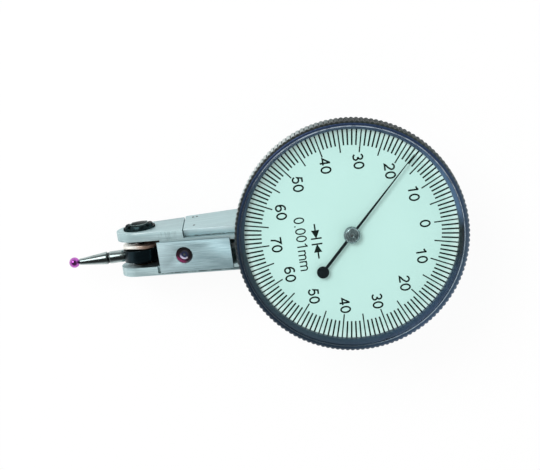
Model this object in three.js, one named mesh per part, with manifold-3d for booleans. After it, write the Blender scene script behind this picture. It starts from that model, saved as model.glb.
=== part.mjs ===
// Lever-type dial test indicator, millimetres, +Z up.
// The dial faces +Z, the stylus points to -X and the side with the dovetail rail and the
// pivot nut faces +Y. The origin is on the dial axis, at the rear dovetail's outer face.
import * as THREE from 'three';
import { mergeVertices } from 'three/addons/utils/BufferGeometryUtils.js';
import Module from 'manifold-3d';

const wasm = await Module();
wasm.setup();

// Clearances and the overrun of every cut
const overrun = 0.5;
const fitGap = 0.05;
const runningGap = 0.3;
const weldDistance = 1e-5;

// Rear dovetail and the body behind the dial
const rearRailHeight = 2.0;
const rearRailHalfWidth = 3.1;
const rearRailWaistHalfWidth = 2.2;
const rearRailLeft = -26;
const rearRailRight = 12;
const rearScrewInset = 5;
const rearScrewRadius = 0.75;
const rearScrewHeadRadius = 1.35;
const rearScrewHeadHeight = 0.8;
const rearScrewLength = 4.6;
const rearScrewSlot = 0.35;

const armHalfHeight = 3.9;
const bodyRight = 14;
const bodyCornerRadius = 2.5;
const bodyBackZ = rearRailHeight;
const armThickness = 10.4;

// The bezel: a knurled ring whose bore turns on the case, with a land, a seat for the
// crystal and an inner slope down to the window
const caseDepth = 6.0;
const bezelRadius = 20;
const bezelWall = 1.1;
const bezelFrameWidth = 1.7;
const bezelShoulder = 0.55;
const bezelLand = 0.25;
const bezelChamfer = 0.45;
const bezelRise = 2.7;
const bezelLipRise = 1.2;
const bezelSkirt = 1.8;
const knurlDepth = 0.3;
const knurlTeeth = 144;
const crystalThickness = 0.7;
const crystalEdgeThickness = 0.5;

// The case: a pan with a floor, a wall and a thinner neck inside the bezel
const caseFloor = 1.0;
const caseWall = 1.0;
const caseNeckStep = 0.6;
const caseNeckGap = 0.4;
const dialThickness = 0.4;
const dialHoleRadius = 1.3;
const ringWireRadius = 0.16;

const bezelBoreRadius = bezelRadius - bezelWall;
const bezelWindowRadius = bezelRadius - bezelFrameWidth;
const bezelRimRadius = bezelRadius - bezelShoulder;
const crystalRadius = bezelRimRadius - bezelLand - fitGap;
const dialRadius = bezelBoreRadius - fitGap;
const caseRadius = bezelBoreRadius;
const caseNeckRadius = caseRadius - caseNeckStep;
const caseInnerRadius = caseNeckRadius - caseWall;
const caseBackZ = bodyBackZ + armThickness;
const dialZ = caseBackZ + caseDepth;
const bezelTopZ = dialZ + bezelRise;
const bezelBottomZ = dialZ - bezelSkirt;
const caseNeckTopZ = dialZ - dialThickness - caseNeckGap;
const caseFloorTopZ = caseBackZ + caseFloor;

// Fork at the stylus end, and the wedge that rises from it to the case
const armReach = 17.9;
const pivotX = -caseRadius - armReach;
const pivotZ = 6.9;
const earRadius = 4.1;
const earThickness = 1.55;
const forkHalfGap = armHalfHeight - earThickness;
const forkDepth = 3.6;
const forkMouthX = pivotX + forkDepth;

// Front plate with its jewel hole
const plateThickness = 0.8;
const plateProud = 0.15;
const plateOverhang = 0.6;
const plateCaseGap = 2.0;
const plateLeft = forkMouthX - plateOverhang;
const plateRight = -caseRadius - plateCaseGap;
const plateTopY = 1.92;
const plateBottomY = -3.5;
const plateHoleRadius = 1.5;
const jewelThickness = 0.45;
const frontJewelDrop = 0.3;
const jewelSinkDepth = 0.2;

// Side dovetail rail
const sideRailInset = 7.9;
const sideRailLeft = pivotX + sideRailInset;
const sideRailRight = 11;
const sideRailHeight = 1.5;
const sideRailUndercut = 1.2;
const sideRailEndGap = 0.15;

// Pivot stack, from the upper ear down
const pivotBoreRadius = 1.25;
const nutFlangeRadius = 2.85;
const nutFlangeHeight = 0.35;
const nutCrownRadius = 2.5;
const nutCrownHeight = 0.45;
const nutFaceRadius = 1.75;
const nutFaceRise = 0.1;
const nutNotches = 4;
const nutNotchWidth = 0.75;
const nutNotchDepth = 0.65;
const nutNotchFloor = 0.1;
const bearingRadius = 1.7;
const bearingHeight = 0.7;
const axleRadius = 0.5;
const clampWasherRadius = 2.9;
const clampWasherGap = 0.2;
const clampWasherThickness = 0.3;
const clampWasherTop = forkHalfGap - clampWasherGap;
const waveWasherRadius = 3.4;
const washerGap = 0.35;
const waveWasherHeight = 0.85;
const waveWasherTop = clampWasherTop - clampWasherThickness - washerGap;
const waveWasherBottom = waveWasherTop - waveWasherHeight;
const waveWasherThickness = 0.55;
const waveCount = 3;
const drumRadius = 3.5;
const drumGap = 0.15;
const drumHeight = 2.1;
const drumTop = waveWasherBottom - drumGap;
const drumBottom = drumTop - drumHeight;
const drumFlatDepth = 0.2;
const leverHubRadius = 2.0;
const leverHubThickness = 0.5;

// Stylus
const stylusLength = 12.4;
const ballRadius = 0.95;
const neckRadius = 0.57;
const coneRadius = 1.12;
const coneLength = 4.7;
const grooveRadius = 0.95;
const grooveLength = 0.35;
const collarRadius = 1.08;
const collarLength = 2.7;
const threadRadius = 0.6;
const threadLength = 1.7;

// Gear train: one turn of the pointer is 0.14 mm at the ball
const mechanismY = -0.6;
const rangePerTurn = 0.14;
const sectorReach = 7.6;
const sectorX = pivotX + sectorReach;
const driverReach = 2.0;
const sectorTeeth = 300;
const sectorTeethShown = 6;
const pinionTeeth = 12;
const wheelTeeth = 100;
const centrePinionTeeth = 10;
const wheelCaseGap = 1.07;
const wheelReachShare = 1 + wheelTeeth / (wheelTeeth + centrePinionTeeth);
const wheelSpacing = (caseInnerRadius - wheelCaseGap) / wheelReachShare;
const toothHeightShare = 2.1;
const toothTipShare = 0.18;
const toothRootShare = 0.3;
const tipReliefShare = 0.15;

const arborRadius = 0.4;
const pivotTipRadius = 0.2;
const jewelHoleRadius = 0.25;
const jewelRadius = 1.0;
const sectorArmWidth = 0.9;
const sectorPlateThickness = 0.6;
const sectorLift = 0.4;
const channelDepth = 2.2;
const channelHalfWidth = 2.2;
const channelRound = 2.0;
const channelBottomZ = caseBackZ - channelDepth;
const sectorBottomZ = channelBottomZ + sectorLift;
const leverPocketDrop = 2.3;
const leverPocketBottomZ = pivotZ - leverPocketDrop;
const leverPocketRight = sectorX + channelRound;
const channelRight = channelRound - wheelSpacing;
const fingerHeight = 0.8;
const fingerWidth = 0.7;
const driverRadius = 0.3;
const wheelThickness = 0.4;
const wheelLift = 0.5;
const wheelBottomZ = caseFloorTopZ + wheelLift;
const wheelRim = 0.9;
const wheelSpoke = 0.7;
const wheelSpokes = 4;
const wheelHubRadius = 1.2;

const pillarHeight = 2.0;
const bridgeBottomZ = caseFloorTopZ + pillarHeight;
const bridgeThickness = 0.8;
const bridgeCorner = 2.0;
const bridgeFrontShare = 0.42;
const bridgeHalfSpanShare = 0.65;
const pillarRadius = 1.3;
const bridgeScrewRadius = 0.6;
const bridgeScrewHeadRadius = 1.3;
const bridgeScrewHeadHeight = 0.6;
const bridgeScrewSlot = 0.3;

const hairspringInner = 1.35;
const hairspringPitch = 0.55;
const hairspringTurns = 6;
const hairspringWidth = 0.12;
const hairspringHeight = 0.4;
const colletRadius = 0.85;
const studRadius = 0.45;
const studHeight = 0.9;

// Pointer
const pointerLift = 0.8;
const pointerZ = dialZ + pointerLift;
const pointerThickness = 0.16;
const pointerAngle = THREE.MathUtils.degToRad(45);
const needleTipGap = 0.9;
const needleLength = bezelWindowRadius - needleTipGap;
const needleRootWidth = 0.5;
const needleTipWidth = 0.14;
const tailLength = 8.15;
const tailWidth = 0.5;
const tailDiscRadius = 1.05;
const pointerBossRadius = 1.0;
const hubRadius = 1.43;
const hubHeight = 0.5;
const hubDimpleRadius = 0.4;

// Facets round each round piece
const coarse = 16;
const medium = 28;
const fine = 52;

const steel = { color: 0xb9c8ca, roughness: 0.32, metalness: 1 };
const darkSteel = { color: 0x15181b, roughness: 0.4, metalness: 0.8 };
const bezelBlue = { color: 0x1d2a3c, roughness: 0.35, metalness: 0.7 };
const brass = { color: 0xc2a35a, roughness: 0.35, metalness: 1 };
const bronze = { color: 0xa9826a, roughness: 0.35, metalness: 1 };
const ruby = { color: 0xb0154e, roughness: 0.08, metalness: 0 };
const mint = { color: 0xc9efe8, roughness: 0.6, metalness: 0 };
const glass = { color: 0xffffff, roughness: 0.03, metalness: 0, transparent: true, opacity: 0.2 };
const springSteel = { color: 0x4d5a78, roughness: 0.3, metalness: 1 };

// A closed mesh becomes a solid once only its positions are left and shared
function solidOf(geometry) {
  const bare = geometry.clone();
  bare.deleteAttribute('normal');
  bare.deleteAttribute('uv');
  const merged = mergeVertices(bare, weldDistance);
  return new wasm.Manifold(new wasm.Mesh({
    numProp: 3,
    vertProperties: new Float32Array(merged.attributes.position.array),
    triVerts: new Uint32Array(merged.index.array),
  }));
}

function geometryOf(solid) {
  const mesh = solid.getMesh();
  const geometry = new THREE.BufferGeometry();
  geometry.setAttribute('position', new THREE.BufferAttribute(mesh.vertProperties, 3));
  geometry.setIndex(new THREE.BufferAttribute(mesh.triVerts, 1));
  geometry.computeVertexNormals();
  return geometry;
}

function combine(base, added, cut) {
  let solid = solidOf(base);
  for (const piece of added) solid = solid.add(solidOf(piece));
  for (const piece of cut) solid = solid.subtract(solidOf(piece));
  return geometryOf(solid);
}

function block(x0, x1, y0, y1, z0, z1) {
  const geometry = new THREE.BoxGeometry(x1 - x0, y1 - y0, z1 - z0);
  return geometry.translate((x0 + x1) / 2, (y0 + y1) / 2, (z0 + z1) / 2);
}

// Round bars along Z and along Y
function rodZ(radius, x, y, z0, z1, sides = coarse) {
  const geometry = new THREE.CylinderGeometry(radius, radius, z1 - z0, sides);
  return geometry.rotateX(Math.PI / 2).translate(x, y, (z0 + z1) / 2);
}

function rodY(radius, x, z, y0, y1, sides = coarse) {
  const geometry = new THREE.CylinderGeometry(radius, radius, y1 - y0, sides);
  return geometry.translate(x, (y0 + y1) / 2, z);
}

// A profile of [radius, height] pairs turned about Z, or about Y
function turnedZ(profile, sides = medium) {
  const points = profile.map(([radius, height]) => new THREE.Vector2(radius, height));
  return new THREE.LatheGeometry(points, sides).rotateX(Math.PI / 2);
}

function turnedY(profile, sides = medium) {
  const points = profile.map(([radius, height]) => new THREE.Vector2(radius, height));
  return new THREE.LatheGeometry(points, sides);
}

// A ring is a closed profile, so its first point comes again at the end
function closedProfile(points) {
  return [...points, points[0]];
}

function outline(points) {
  return new THREE.Shape(points.map(([a, b]) => new THREE.Vector2(a, b)));
}

// Outlines in XY pushed up Z, and outlines in XZ pushed along Y
function slabZ(shape, z0, z1, curveSegments = coarse) {
  const options = { depth: z1 - z0, bevelEnabled: false, curveSegments };
  return new THREE.ExtrudeGeometry(shape, options).translate(0, 0, z0);
}

function slabY(shape, y0, y1, curveSegments = coarse) {
  const options = { depth: y1 - y0, bevelEnabled: false, curveSegments };
  return new THREE.ExtrudeGeometry(shape, options).rotateX(Math.PI / 2).translate(0, y1, 0);
}

// A straight loft between two outlines with the same number of points, in XZ at two heights of Y
function loftY(lower, upper, y0, y1) {
  const count = lower.length;
  const positions = [];
  for (const [x, z] of lower) positions.push(x, y0, z);
  for (const [x, z] of upper) positions.push(x, y1, z);
  const faces = THREE.ShapeUtils.triangulateShape(upper.map(([x, z]) => new THREE.Vector2(x, z)), []);
  const index = [];
  for (const [a, b, c] of faces) {
    index.push(a, b, c);
    index.push(count + a, count + c, count + b);
  }
  for (let i = 0; i < count; i += 1) {
    const next = (i + 1) % count;
    index.push(i, count + i, count + next);
    index.push(i, count + next, next);
  }
  const geometry = new THREE.BufferGeometry();
  geometry.setAttribute('position', new THREE.BufferAttribute(new Float32Array(positions), 3));
  geometry.setIndex(index);
  return geometry;
}

// The hull of equal circles at the corners of a convex polygon, counterclockwise
function roundedPolygon(corners, radius, steps = coarse / 2) {
  const points = [];
  const count = corners.length;
  for (let i = 0; i < count; i += 1) {
    const [px, py] = corners[(i + count - 1) % count];
    const [cx, cy] = corners[i];
    const [nx, ny] = corners[(i + 1) % count];
    const start = Math.atan2(cy - py, cx - px) - Math.PI / 2;
    let end = Math.atan2(ny - cy, nx - cx) - Math.PI / 2;
    if (end < start) end += 2 * Math.PI;
    for (let k = 0; k <= steps; k += 1) {
      const angle = start + ((end - start) * k) / steps;
      points.push([cx + radius * Math.cos(angle), cy + radius * Math.sin(angle)]);
    }
  }
  return outline(points);
}

// Straight-sided teeth on the arc from first to last, as points round the origin
function toothPoints(pitchRadius, module, teeth, first, last, phaseShare) {
  const step = (2 * Math.PI) / teeth;
  const tip = pitchRadius + (module * toothHeightShare) / 2 - module * tipReliefShare;
  const root = pitchRadius - (module * toothHeightShare) / 2;
  const points = [];
  for (let k = first; k < last; k += 1) {
    const middle = (k + phaseShare) * step;
    points.push([root, middle - toothRootShare * step]);
    points.push([tip, middle - toothTipShare * step]);
    points.push([tip, middle + toothTipShare * step]);
    points.push([root, middle + toothRootShare * step]);
  }
  return points.map(([radius, angle]) => [radius * Math.cos(angle), radius * Math.sin(angle)]);
}

function piece(name, geometry, look, parent) {
  const mesh = new THREE.Mesh(geometry, new THREE.MeshStandardMaterial(look));
  mesh.name = name;
  parent.add(mesh);
  return mesh;
}

function placed(x, y, z, parent) {
  const holder = new THREE.Group();
  holder.position.set(x, y, z);
  parent.add(holder);
  return holder;
}

// The arm's front face: a plane that touches the ear's round end and rises to the bezel's foot
const frontRun = -caseRadius - pivotX;
const frontClimb = bezelBottomZ - fitGap - pivotZ;
const frontAngle = Math.atan2(frontClimb, frontRun) - Math.asin(earRadius / Math.hypot(frontRun, frontClimb));
const frontRise = Math.tan(frontAngle);
const frontAtPivot = pivotZ + earRadius / Math.cos(frontAngle);

function frontZ(x) {
  return frontAtPivot + frontRise * (x - pivotX);
}

const forkBackZ = pivotZ - earRadius;

// Places of the gear train
const wheelX = -Math.sqrt(wheelSpacing ** 2 - mechanismY ** 2);
const meshAngle = Math.atan2(-mechanismY, -wheelX);
const wheelModule = (2 * wheelSpacing) / (wheelTeeth + centrePinionTeeth);
const wheelPitchRadius = (wheelModule * wheelTeeth) / 2;
const centrePinionRadius = (wheelModule * centrePinionTeeth) / 2;
const sectorSpacing = wheelX - sectorX;
const sectorModule = (2 * sectorSpacing) / (sectorTeeth + pinionTeeth);
const sectorRadius = (sectorModule * sectorTeeth) / 2;
const wheelPinionRadius = (sectorModule * pinionTeeth) / 2;
const turnRatio = (2 * Math.PI * stylusLength) / rangePerTurn;
const gearRatio = (sectorTeeth / pinionTeeth) * (wheelTeeth / centrePinionTeeth);
const fingerOffset = (driverReach * gearRatio) / turnRatio;

function sideProfile() {
  const shape = new THREE.Shape();
  const cornerX = bodyRight - bodyCornerRadius;
  const cornerZ = bodyBackZ + bodyCornerRadius;
  const tangentX = pivotX - earRadius * Math.sin(frontAngle);
  const tangentZ = pivotZ + earRadius * Math.cos(frontAngle);
  shape.moveTo(tangentX, tangentZ);
  shape.absarc(pivotX, pivotZ, earRadius, Math.PI / 2 + frontAngle, (3 * Math.PI) / 2, false);
  shape.lineTo(sideRailLeft, forkBackZ);
  shape.lineTo(sideRailLeft, bodyBackZ);
  shape.lineTo(cornerX, bodyBackZ);
  shape.absarc(cornerX, cornerZ, bodyCornerRadius, -Math.PI / 2, 0, false);
  shape.lineTo(bodyRight, caseFloorTopZ);
  shape.lineTo(-caseInnerRadius, caseFloorTopZ);
  shape.lineTo(-caseInnerRadius, frontZ(-caseRadius));
  shape.lineTo(-caseRadius, frontZ(-caseRadius));
  shape.closePath();
  return shape;
}

function mainBodyGeometry() {
  const arm = slabY(sideProfile(), -armHalfHeight, armHalfHeight, coarse);
  const neckBase = bezelBottomZ - runningGap;
  const pan = turnedZ([
    [0, caseBackZ],
    [caseRadius - bezelChamfer, caseBackZ],
    [caseRadius, caseBackZ + bezelChamfer],
    [caseRadius, neckBase],
    [caseNeckRadius, neckBase],
    [caseNeckRadius, caseNeckTopZ],
    [0, caseNeckTopZ],
  ], fine);
  const hollow = rodZ(caseInnerRadius, 0, 0, caseFloorTopZ, caseNeckTopZ + overrun, fine);
  const farLeft = pivotX - earRadius - overrun;
  const channelTopY = mechanismY + channelHalfWidth;
  const channelLowY = mechanismY - channelHalfWidth;
  const forkSlot = block(farLeft, forkMouthX, -forkHalfGap, forkHalfGap, forkBackZ - overrun, dialZ);
  const leverPocket = block(
    forkMouthX - overrun, leverPocketRight, -forkHalfGap, channelTopY, leverPocketBottomZ, dialZ);
  const channel = block(
    leverPocketRight - overrun, channelRight, channelLowY, channelTopY, channelBottomZ, dialZ);
  const seatY = armHalfHeight - sideRailHeight;
  const outerY = armHalfHeight + overrun;
  const seatRight = sideRailRight + runningGap;
  const seatFrontRight = -caseRadius - runningGap;
  const railSeat = block(sideRailLeft, seatRight, seatY, outerY, bodyBackZ - overrun, caseBackZ);
  const railSeatFront = block(sideRailLeft, seatFrontRight, seatY, outerY, caseBackZ - overrun, dialZ);
  const earInner = forkHalfGap - overrun;
  const bearingEnd = forkHalfGap + bearingHeight;
  const jewelHole = jewelRadius + fitGap;
  const bores = [
    rodY(pivotBoreRadius, pivotX, pivotZ, -outerY, outerY),
    rodY(bearingRadius + fitGap, pivotX, pivotZ, earInner, bearingEnd),
    rodY(bearingRadius + fitGap, pivotX, pivotZ, -bearingEnd, -earInner),
    rodZ(jewelHole, 0, 0, caseFloorTopZ - jewelThickness, caseFloorTopZ + overrun),
    rodZ(jewelHole, wheelX, mechanismY, channelBottomZ - jewelThickness, channelBottomZ + overrun),
    rodZ(jewelHole, sectorX, mechanismY, leverPocketBottomZ - jewelThickness, leverPocketBottomZ + overrun),
  ];
  const screwHoleTop = rearScrewHeadHeight + rearScrewLength + overrun;
  for (const x of rearScrewPlaces()) {
    bores.push(rodZ(rearScrewRadius + fitGap, x, 0, bodyBackZ - overrun, screwHoleTop));
  }
  const recess = plateRecessGeometry();
  const pockets = [hollow, recess, forkSlot, leverPocket, channel, railSeat, railSeatFront];
  return combine(arm, [pan], [...pockets, ...bores]);
}

function rearScrewPlaces() {
  return [rearRailLeft + rearScrewInset, rearRailRight - rearScrewInset];
}

function plateRecessGeometry() {
  const depth = plateThickness - plateProud;
  const left = plateLeft - overrun;
  const right = plateRight + fitGap;
  const shape = outline([
    [left, frontZ(left) - depth],
    [right, frontZ(right) - depth],
    [right, dialZ],
    [left, dialZ],
  ]);
  return slabY(shape, plateBottomY - fitGap, plateTopY + fitGap);
}

function frontPlateGeometry() {
  const depth = plateThickness - plateProud;
  const shape = outline([
    [plateLeft, frontZ(plateLeft) - depth],
    [plateRight, frontZ(plateRight) - depth],
    [plateRight, frontZ(plateRight) + plateProud],
    [plateLeft, frontZ(plateLeft) + plateProud],
  ]);
  const plate = slabY(shape, plateBottomY, plateTopY);
  return combine(plate, [], [rodZ(plateHoleRadius, sectorX, mechanismY, 0, dialZ)]);
}

function sideRailGeometry() {
  const z0 = bodyBackZ;
  const underCaseZ = caseBackZ - fitGap;
  const armFrontX = -caseRadius - runningGap - fitGap;
  const upper = [
    [sideRailLeft + sideRailEndGap, z0],
    [sideRailRight, z0],
    [sideRailRight, underCaseZ],
    [armFrontX, underCaseZ],
    [armFrontX, frontZ(armFrontX)],
    [sideRailLeft + sideRailEndGap, frontZ(sideRailLeft + sideRailEndGap)],
  ];
  const inward = [1, 1, -1, -1, -1, -1];
  const lower = upper.map(([x, z], i) => [x, z + inward[i] * sideRailUndercut]);
  return loftY(lower, upper, armHalfHeight - sideRailHeight, armHalfHeight);
}

function rearRailGeometry() {
  const crossSection = outline([
    [-rearRailHalfWidth, 0],
    [rearRailHalfWidth, 0],
    [rearRailWaistHalfWidth, rearRailHeight],
    [-rearRailWaistHalfWidth, rearRailHeight],
  ]);
  const length = rearRailRight - rearRailLeft;
  const bar = new THREE.ExtrudeGeometry(crossSection, { depth: length, bevelEnabled: false });
  bar.rotateX(Math.PI / 2).rotateZ(Math.PI / 2).translate(rearRailLeft, 0, 0);
  const cuts = [];
  for (const x of rearScrewPlaces()) {
    cuts.push(rodZ(rearScrewRadius + fitGap, x, 0, -overrun, rearRailHeight + overrun));
    cuts.push(rodZ(rearScrewHeadRadius + fitGap, x, 0, -overrun, runningGap + rearScrewHeadHeight));
  }
  return combine(bar, [], cuts);
}

// A slotted cheese-head screw that points up, with its head at the bottom
function slottedScrew(shankRadius, headRadius, headHeight, length, slot) {
  const screw = turnedZ([
    [0, 0],
    [headRadius, 0],
    [headRadius, headHeight],
    [shankRadius, headHeight],
    [shankRadius, headHeight + length],
    [0, headHeight + length],
  ], coarse);
  const reach = headRadius + overrun;
  return combine(screw, [], [block(-reach, reach, -slot / 2, slot / 2, -overrun, headHeight / 2)]);
}

function pivotNutGeometry() {
  const base = armHalfHeight;
  const spigotEnd = forkHalfGap + bearingHeight + fitGap;
  const crownTop = base + nutFlangeHeight + nutCrownHeight;
  const nut = turnedY([
    [0, spigotEnd],
    [pivotBoreRadius - fitGap, spigotEnd],
    [pivotBoreRadius - fitGap, base],
    [nutFlangeRadius, base],
    [nutFlangeRadius, base + nutFlangeHeight],
    [nutCrownRadius, base + nutFlangeHeight],
    [nutCrownRadius - nutFaceRise, crownTop],
    [nutFaceRadius, crownTop],
    [nutFaceRadius - nutFaceRise, crownTop + nutFaceRise],
    [0, crownTop + nutFaceRise],
  ], medium);
  const notches = [];
  const notchInner = nutCrownRadius - nutNotchDepth;
  const notchOuter = nutFlangeRadius + overrun;
  const notchFloor = base + nutFlangeHeight + nutNotchFloor;
  const notchHalf = nutNotchWidth / 2;
  for (let i = 0; i < nutNotches; i += 1) {
    const notch = block(notchInner, notchOuter, notchFloor, crownTop + overrun, -notchHalf, notchHalf);
    notches.push(notch.rotateY(((i + 1 / 2) * 2 * Math.PI) / nutNotches));
  }
  return combine(nut, [], notches);
}

function bearingGeometry(bottom) {
  return turnedY(closedProfile([
    [axleRadius + fitGap, bottom],
    [bearingRadius, bottom],
    [bearingRadius, bottom + bearingHeight],
    [axleRadius + fitGap, bottom + bearingHeight],
  ]), coarse);
}

function lowerPlugGeometry() {
  const top = -forkHalfGap - bearingHeight - fitGap;
  const slotTop = -armHalfHeight + (armHalfHeight + top) / 3;
  const slotHalf = bridgeScrewSlot / 2;
  const plug = rodY(pivotBoreRadius - fitGap, 0, 0, -armHalfHeight, top);
  const slot = block(
    -pivotBoreRadius, pivotBoreRadius, -armHalfHeight - overrun, slotTop, -slotHalf, slotHalf);
  return combine(plug, [], [slot]);
}

function washerGeometry(radius, top, thickness) {
  return turnedY(closedProfile([
    [axleRadius + fitGap, top - thickness],
    [radius, top - thickness],
    [radius, top],
    [axleRadius + fitGap, top],
  ]), medium);
}

// A ring bent into three waves, which presses on the drum as a spring
function waveWasherGeometry() {
  const geometry = washerGeometry(waveWasherRadius, waveWasherThickness, waveWasherThickness);
  const rise = waveWasherTop - waveWasherBottom - waveWasherThickness;
  const position = geometry.attributes.position;
  for (let i = 0; i < position.count; i += 1) {
    const x = position.getX(i);
    const z = position.getZ(i);
    const wave = (1 + Math.cos(waveCount * Math.atan2(z, x))) / 2;
    position.setY(i, position.getY(i) + waveWasherBottom + rise * wave);
  }
  return geometry;
}

function drumGeometry() {
  const drum = rodY(drumRadius, 0, 0, drumBottom, drumTop, fine);
  const axleHole = rodY(axleRadius + fitGap, 0, 0, drumBottom - overrun, drumTop + overrun);
  const holeRadius = threadRadius + fitGap;
  const holeLength = threadLength + runningGap;
  const threadHole = new THREE.CylinderGeometry(holeRadius, holeRadius, holeLength, coarse);
  threadHole.rotateZ(Math.PI / 2).translate(-drumRadius + holeLength / 2 - fitGap, mechanismY, 0);
  const low = drumBottom - overrun;
  const high = drumTop + overrun;
  const outer = drumRadius + overrun;
  const mouth = block(-outer, -drumRadius + drumFlatDepth / 2, low, high, -drumRadius, drumRadius);
  const flat = block(drumRadius - drumFlatDepth, outer, low, high, -drumRadius, drumRadius);
  return combine(drum, [], [axleHole, threadHole, mouth, flat]);
}

// The lever turns in the fork. Its driver pin stands beside the sector's finger
function innerLeverGeometry() {
  const hubBottom = -forkHalfGap + runningGap / 2;
  const hubTop = hubBottom + leverHubThickness;
  const driverX = sectorX - fingerWidth / 2 - runningGap - driverRadius - pivotX;
  const reach = Math.hypot(driverX, driverReach);
  const lean = Math.atan2(driverReach, driverX);
  const hub = rodY(leverHubRadius, 0, 0, hubBottom, hubTop, medium);
  const axleHalf = forkHalfGap + bearingHeight - runningGap;
  const axle = rodY(axleRadius, 0, 0, -axleHalf, axleHalf);
  const armHalf = sectorArmWidth / 2;
  const arm = block(0, reach, hubBottom, hubTop, -armHalf, armHalf).rotateY(-lean);
  const armEnd = rodY(armHalf, driverX, driverReach, hubBottom, hubTop);
  const driverTop = mechanismY - fingerOffset + driverRadius;
  const driver = rodY(driverRadius, driverX, driverReach, hubTop - fitGap, driverTop);
  return combine(hub, [axle, arm, armEnd, driver], []);
}

function stylusGeometry() {
  const seat = drumRadius - drumFlatDepth / 2;
  const collarEnd = seat + collarLength;
  const grooveEnd = collarEnd + grooveLength;
  const coneEnd = grooveEnd + coneLength;
  const neckEnd = stylusLength - ballRadius - fitGap;
  return turnedZ([
    [0, seat - threadLength],
    [threadRadius, seat - threadLength],
    [threadRadius, seat],
    [collarRadius, seat],
    [collarRadius, collarEnd - grooveLength / 2],
    [grooveRadius, collarEnd],
    [grooveRadius, grooveEnd],
    [coneRadius, grooveEnd],
    [neckRadius, coneEnd],
    [neckRadius, neckEnd],
    [0, neckEnd],
  ], medium).rotateY(-Math.PI / 2);
}

function sectorLeverGeometry() {
  const plateTop = sectorBottomZ + sectorPlateThickness;
  const spread = ((sectorTeethShown / 2 + 1) * 2 * Math.PI) / sectorTeeth;
  const innerRadius = sectorRadius - sectorArmWidth * 2;
  const root = sectorRadius - (sectorModule * toothHeightShare) / 2;
  const half = Math.ceil(sectorTeethShown / 2);
  const points = [
    [innerRadius * Math.cos(spread), innerRadius * Math.sin(spread)],
    [innerRadius * Math.cos(spread), -innerRadius * Math.sin(spread)],
    [root * Math.cos(spread), -root * Math.sin(spread)],
    ...toothPoints(sectorRadius, sectorModule, sectorTeeth, -half, half, 1 / 2),
    [root * Math.cos(spread), root * Math.sin(spread)],
  ];
  const head = slabZ(outline(points), sectorBottomZ, plateTop);
  const armHalf = sectorArmWidth / 2;
  const arm = block(0, innerRadius + armHalf, -armHalf, armHalf, sectorBottomZ, plateTop);
  const boss = rodZ(sectorArmWidth, 0, 0, sectorBottomZ - sectorPlateThickness, plateTop);
  const topZ = frontZ(sectorX) - plateThickness;
  const arbor = rodZ(arborRadius, 0, 0, leverPocketBottomZ + runningGap, topZ);
  const tip = rodZ(pivotTipRadius, 0, 0, leverPocketBottomZ - jewelThickness / 2, topZ + jewelThickness);
  const fingerLow = pivotZ + driverReach - fingerHeight / 2;
  const fingerY = -fingerOffset - driverRadius;
  const finger = block(
    -fingerWidth / 2, fingerWidth / 2, fingerY, 0, fingerLow, fingerLow + fingerHeight);
  return combine(head, [arm, boss, arbor, tip, finger], []);
}

function pinionGeometry(pitchRadius, module, teeth, z0, z1, phaseShare) {
  return slabZ(outline(toothPoints(pitchRadius, module, teeth, 0, teeth, phaseShare)), z0, z1);
}

function intermediateArborGeometry() {
  const pinionTop = caseBackZ;
  const pinionBottom = channelBottomZ + runningGap;
  const base = pinionGeometry(wheelPinionRadius, sectorModule, pinionTeeth, pinionBottom, pinionTop, 0);
  const arbor = rodZ(arborRadius, 0, 0, pinionTop - overrun, bridgeBottomZ - runningGap / 2);
  const seat = rodZ(wheelHubRadius, 0, 0, wheelBottomZ - runningGap, wheelBottomZ);
  const tipBottom = channelBottomZ - jewelThickness / 2;
  const tip = rodZ(pivotTipRadius, 0, 0, tipBottom, bridgeBottomZ + jewelThickness);
  return combine(base, [arbor, seat, tip], []);
}

function wheelGeometry() {
  const teeth = toothPoints(wheelPitchRadius, wheelModule, wheelTeeth, 0, wheelTeeth, 0);
  const shape = outline(teeth);
  const rim = wheelPitchRadius - wheelModule * toothHeightShare - wheelRim;
  const hub = wheelHubRadius;
  const gapHalf = Math.PI / wheelSpokes;
  for (let i = 0; i < wheelSpokes; i += 1) {
    const middle = (i + 1 / 2) * 2 * gapHalf;
    const outer = gapHalf - Math.asin(wheelSpoke / 2 / rim);
    const inner = gapHalf - Math.asin(wheelSpoke / 2 / hub);
    const hole = new THREE.Path();
    hole.absarc(0, 0, rim, middle - outer, middle + outer, false);
    hole.absarc(0, 0, hub, middle + inner, middle - inner, true);
    hole.closePath();
    shape.holes.push(hole);
  }
  const bore = new THREE.Path();
  bore.absarc(0, 0, arborRadius + fitGap, 0, 2 * Math.PI, true);
  shape.holes.push(bore);
  return slabZ(shape, wheelBottomZ, wheelBottomZ + wheelThickness, coarse / 4).rotateZ(meshAngle);
}

function pointerArborGeometry() {
  const bottom = caseFloorTopZ + runningGap;
  const top = bridgeBottomZ - runningGap;
  const base = pinionGeometry(centrePinionRadius, wheelModule, centrePinionTeeth, bottom, top, 1 / 2);
  base.rotateZ(meshAngle);
  const tipBottom = rodZ(pivotTipRadius, 0, 0, caseFloorTopZ - jewelThickness / 2, bottom + overrun);
  const arbor = rodZ(arborRadius, 0, 0, top - overrun, pointerZ + hubHeight);
  const colletBottom = bridgeBottomZ + bridgeThickness + runningGap / 2;
  const collet = rodZ(colletRadius, 0, 0, colletBottom, colletBottom + runningGap / 2 + hairspringHeight);
  const seat = rodZ(pointerBossRadius, 0, 0, dialZ + runningGap, pointerZ);
  return combine(base, [tipBottom, arbor, collet, seat], []);
}

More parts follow.
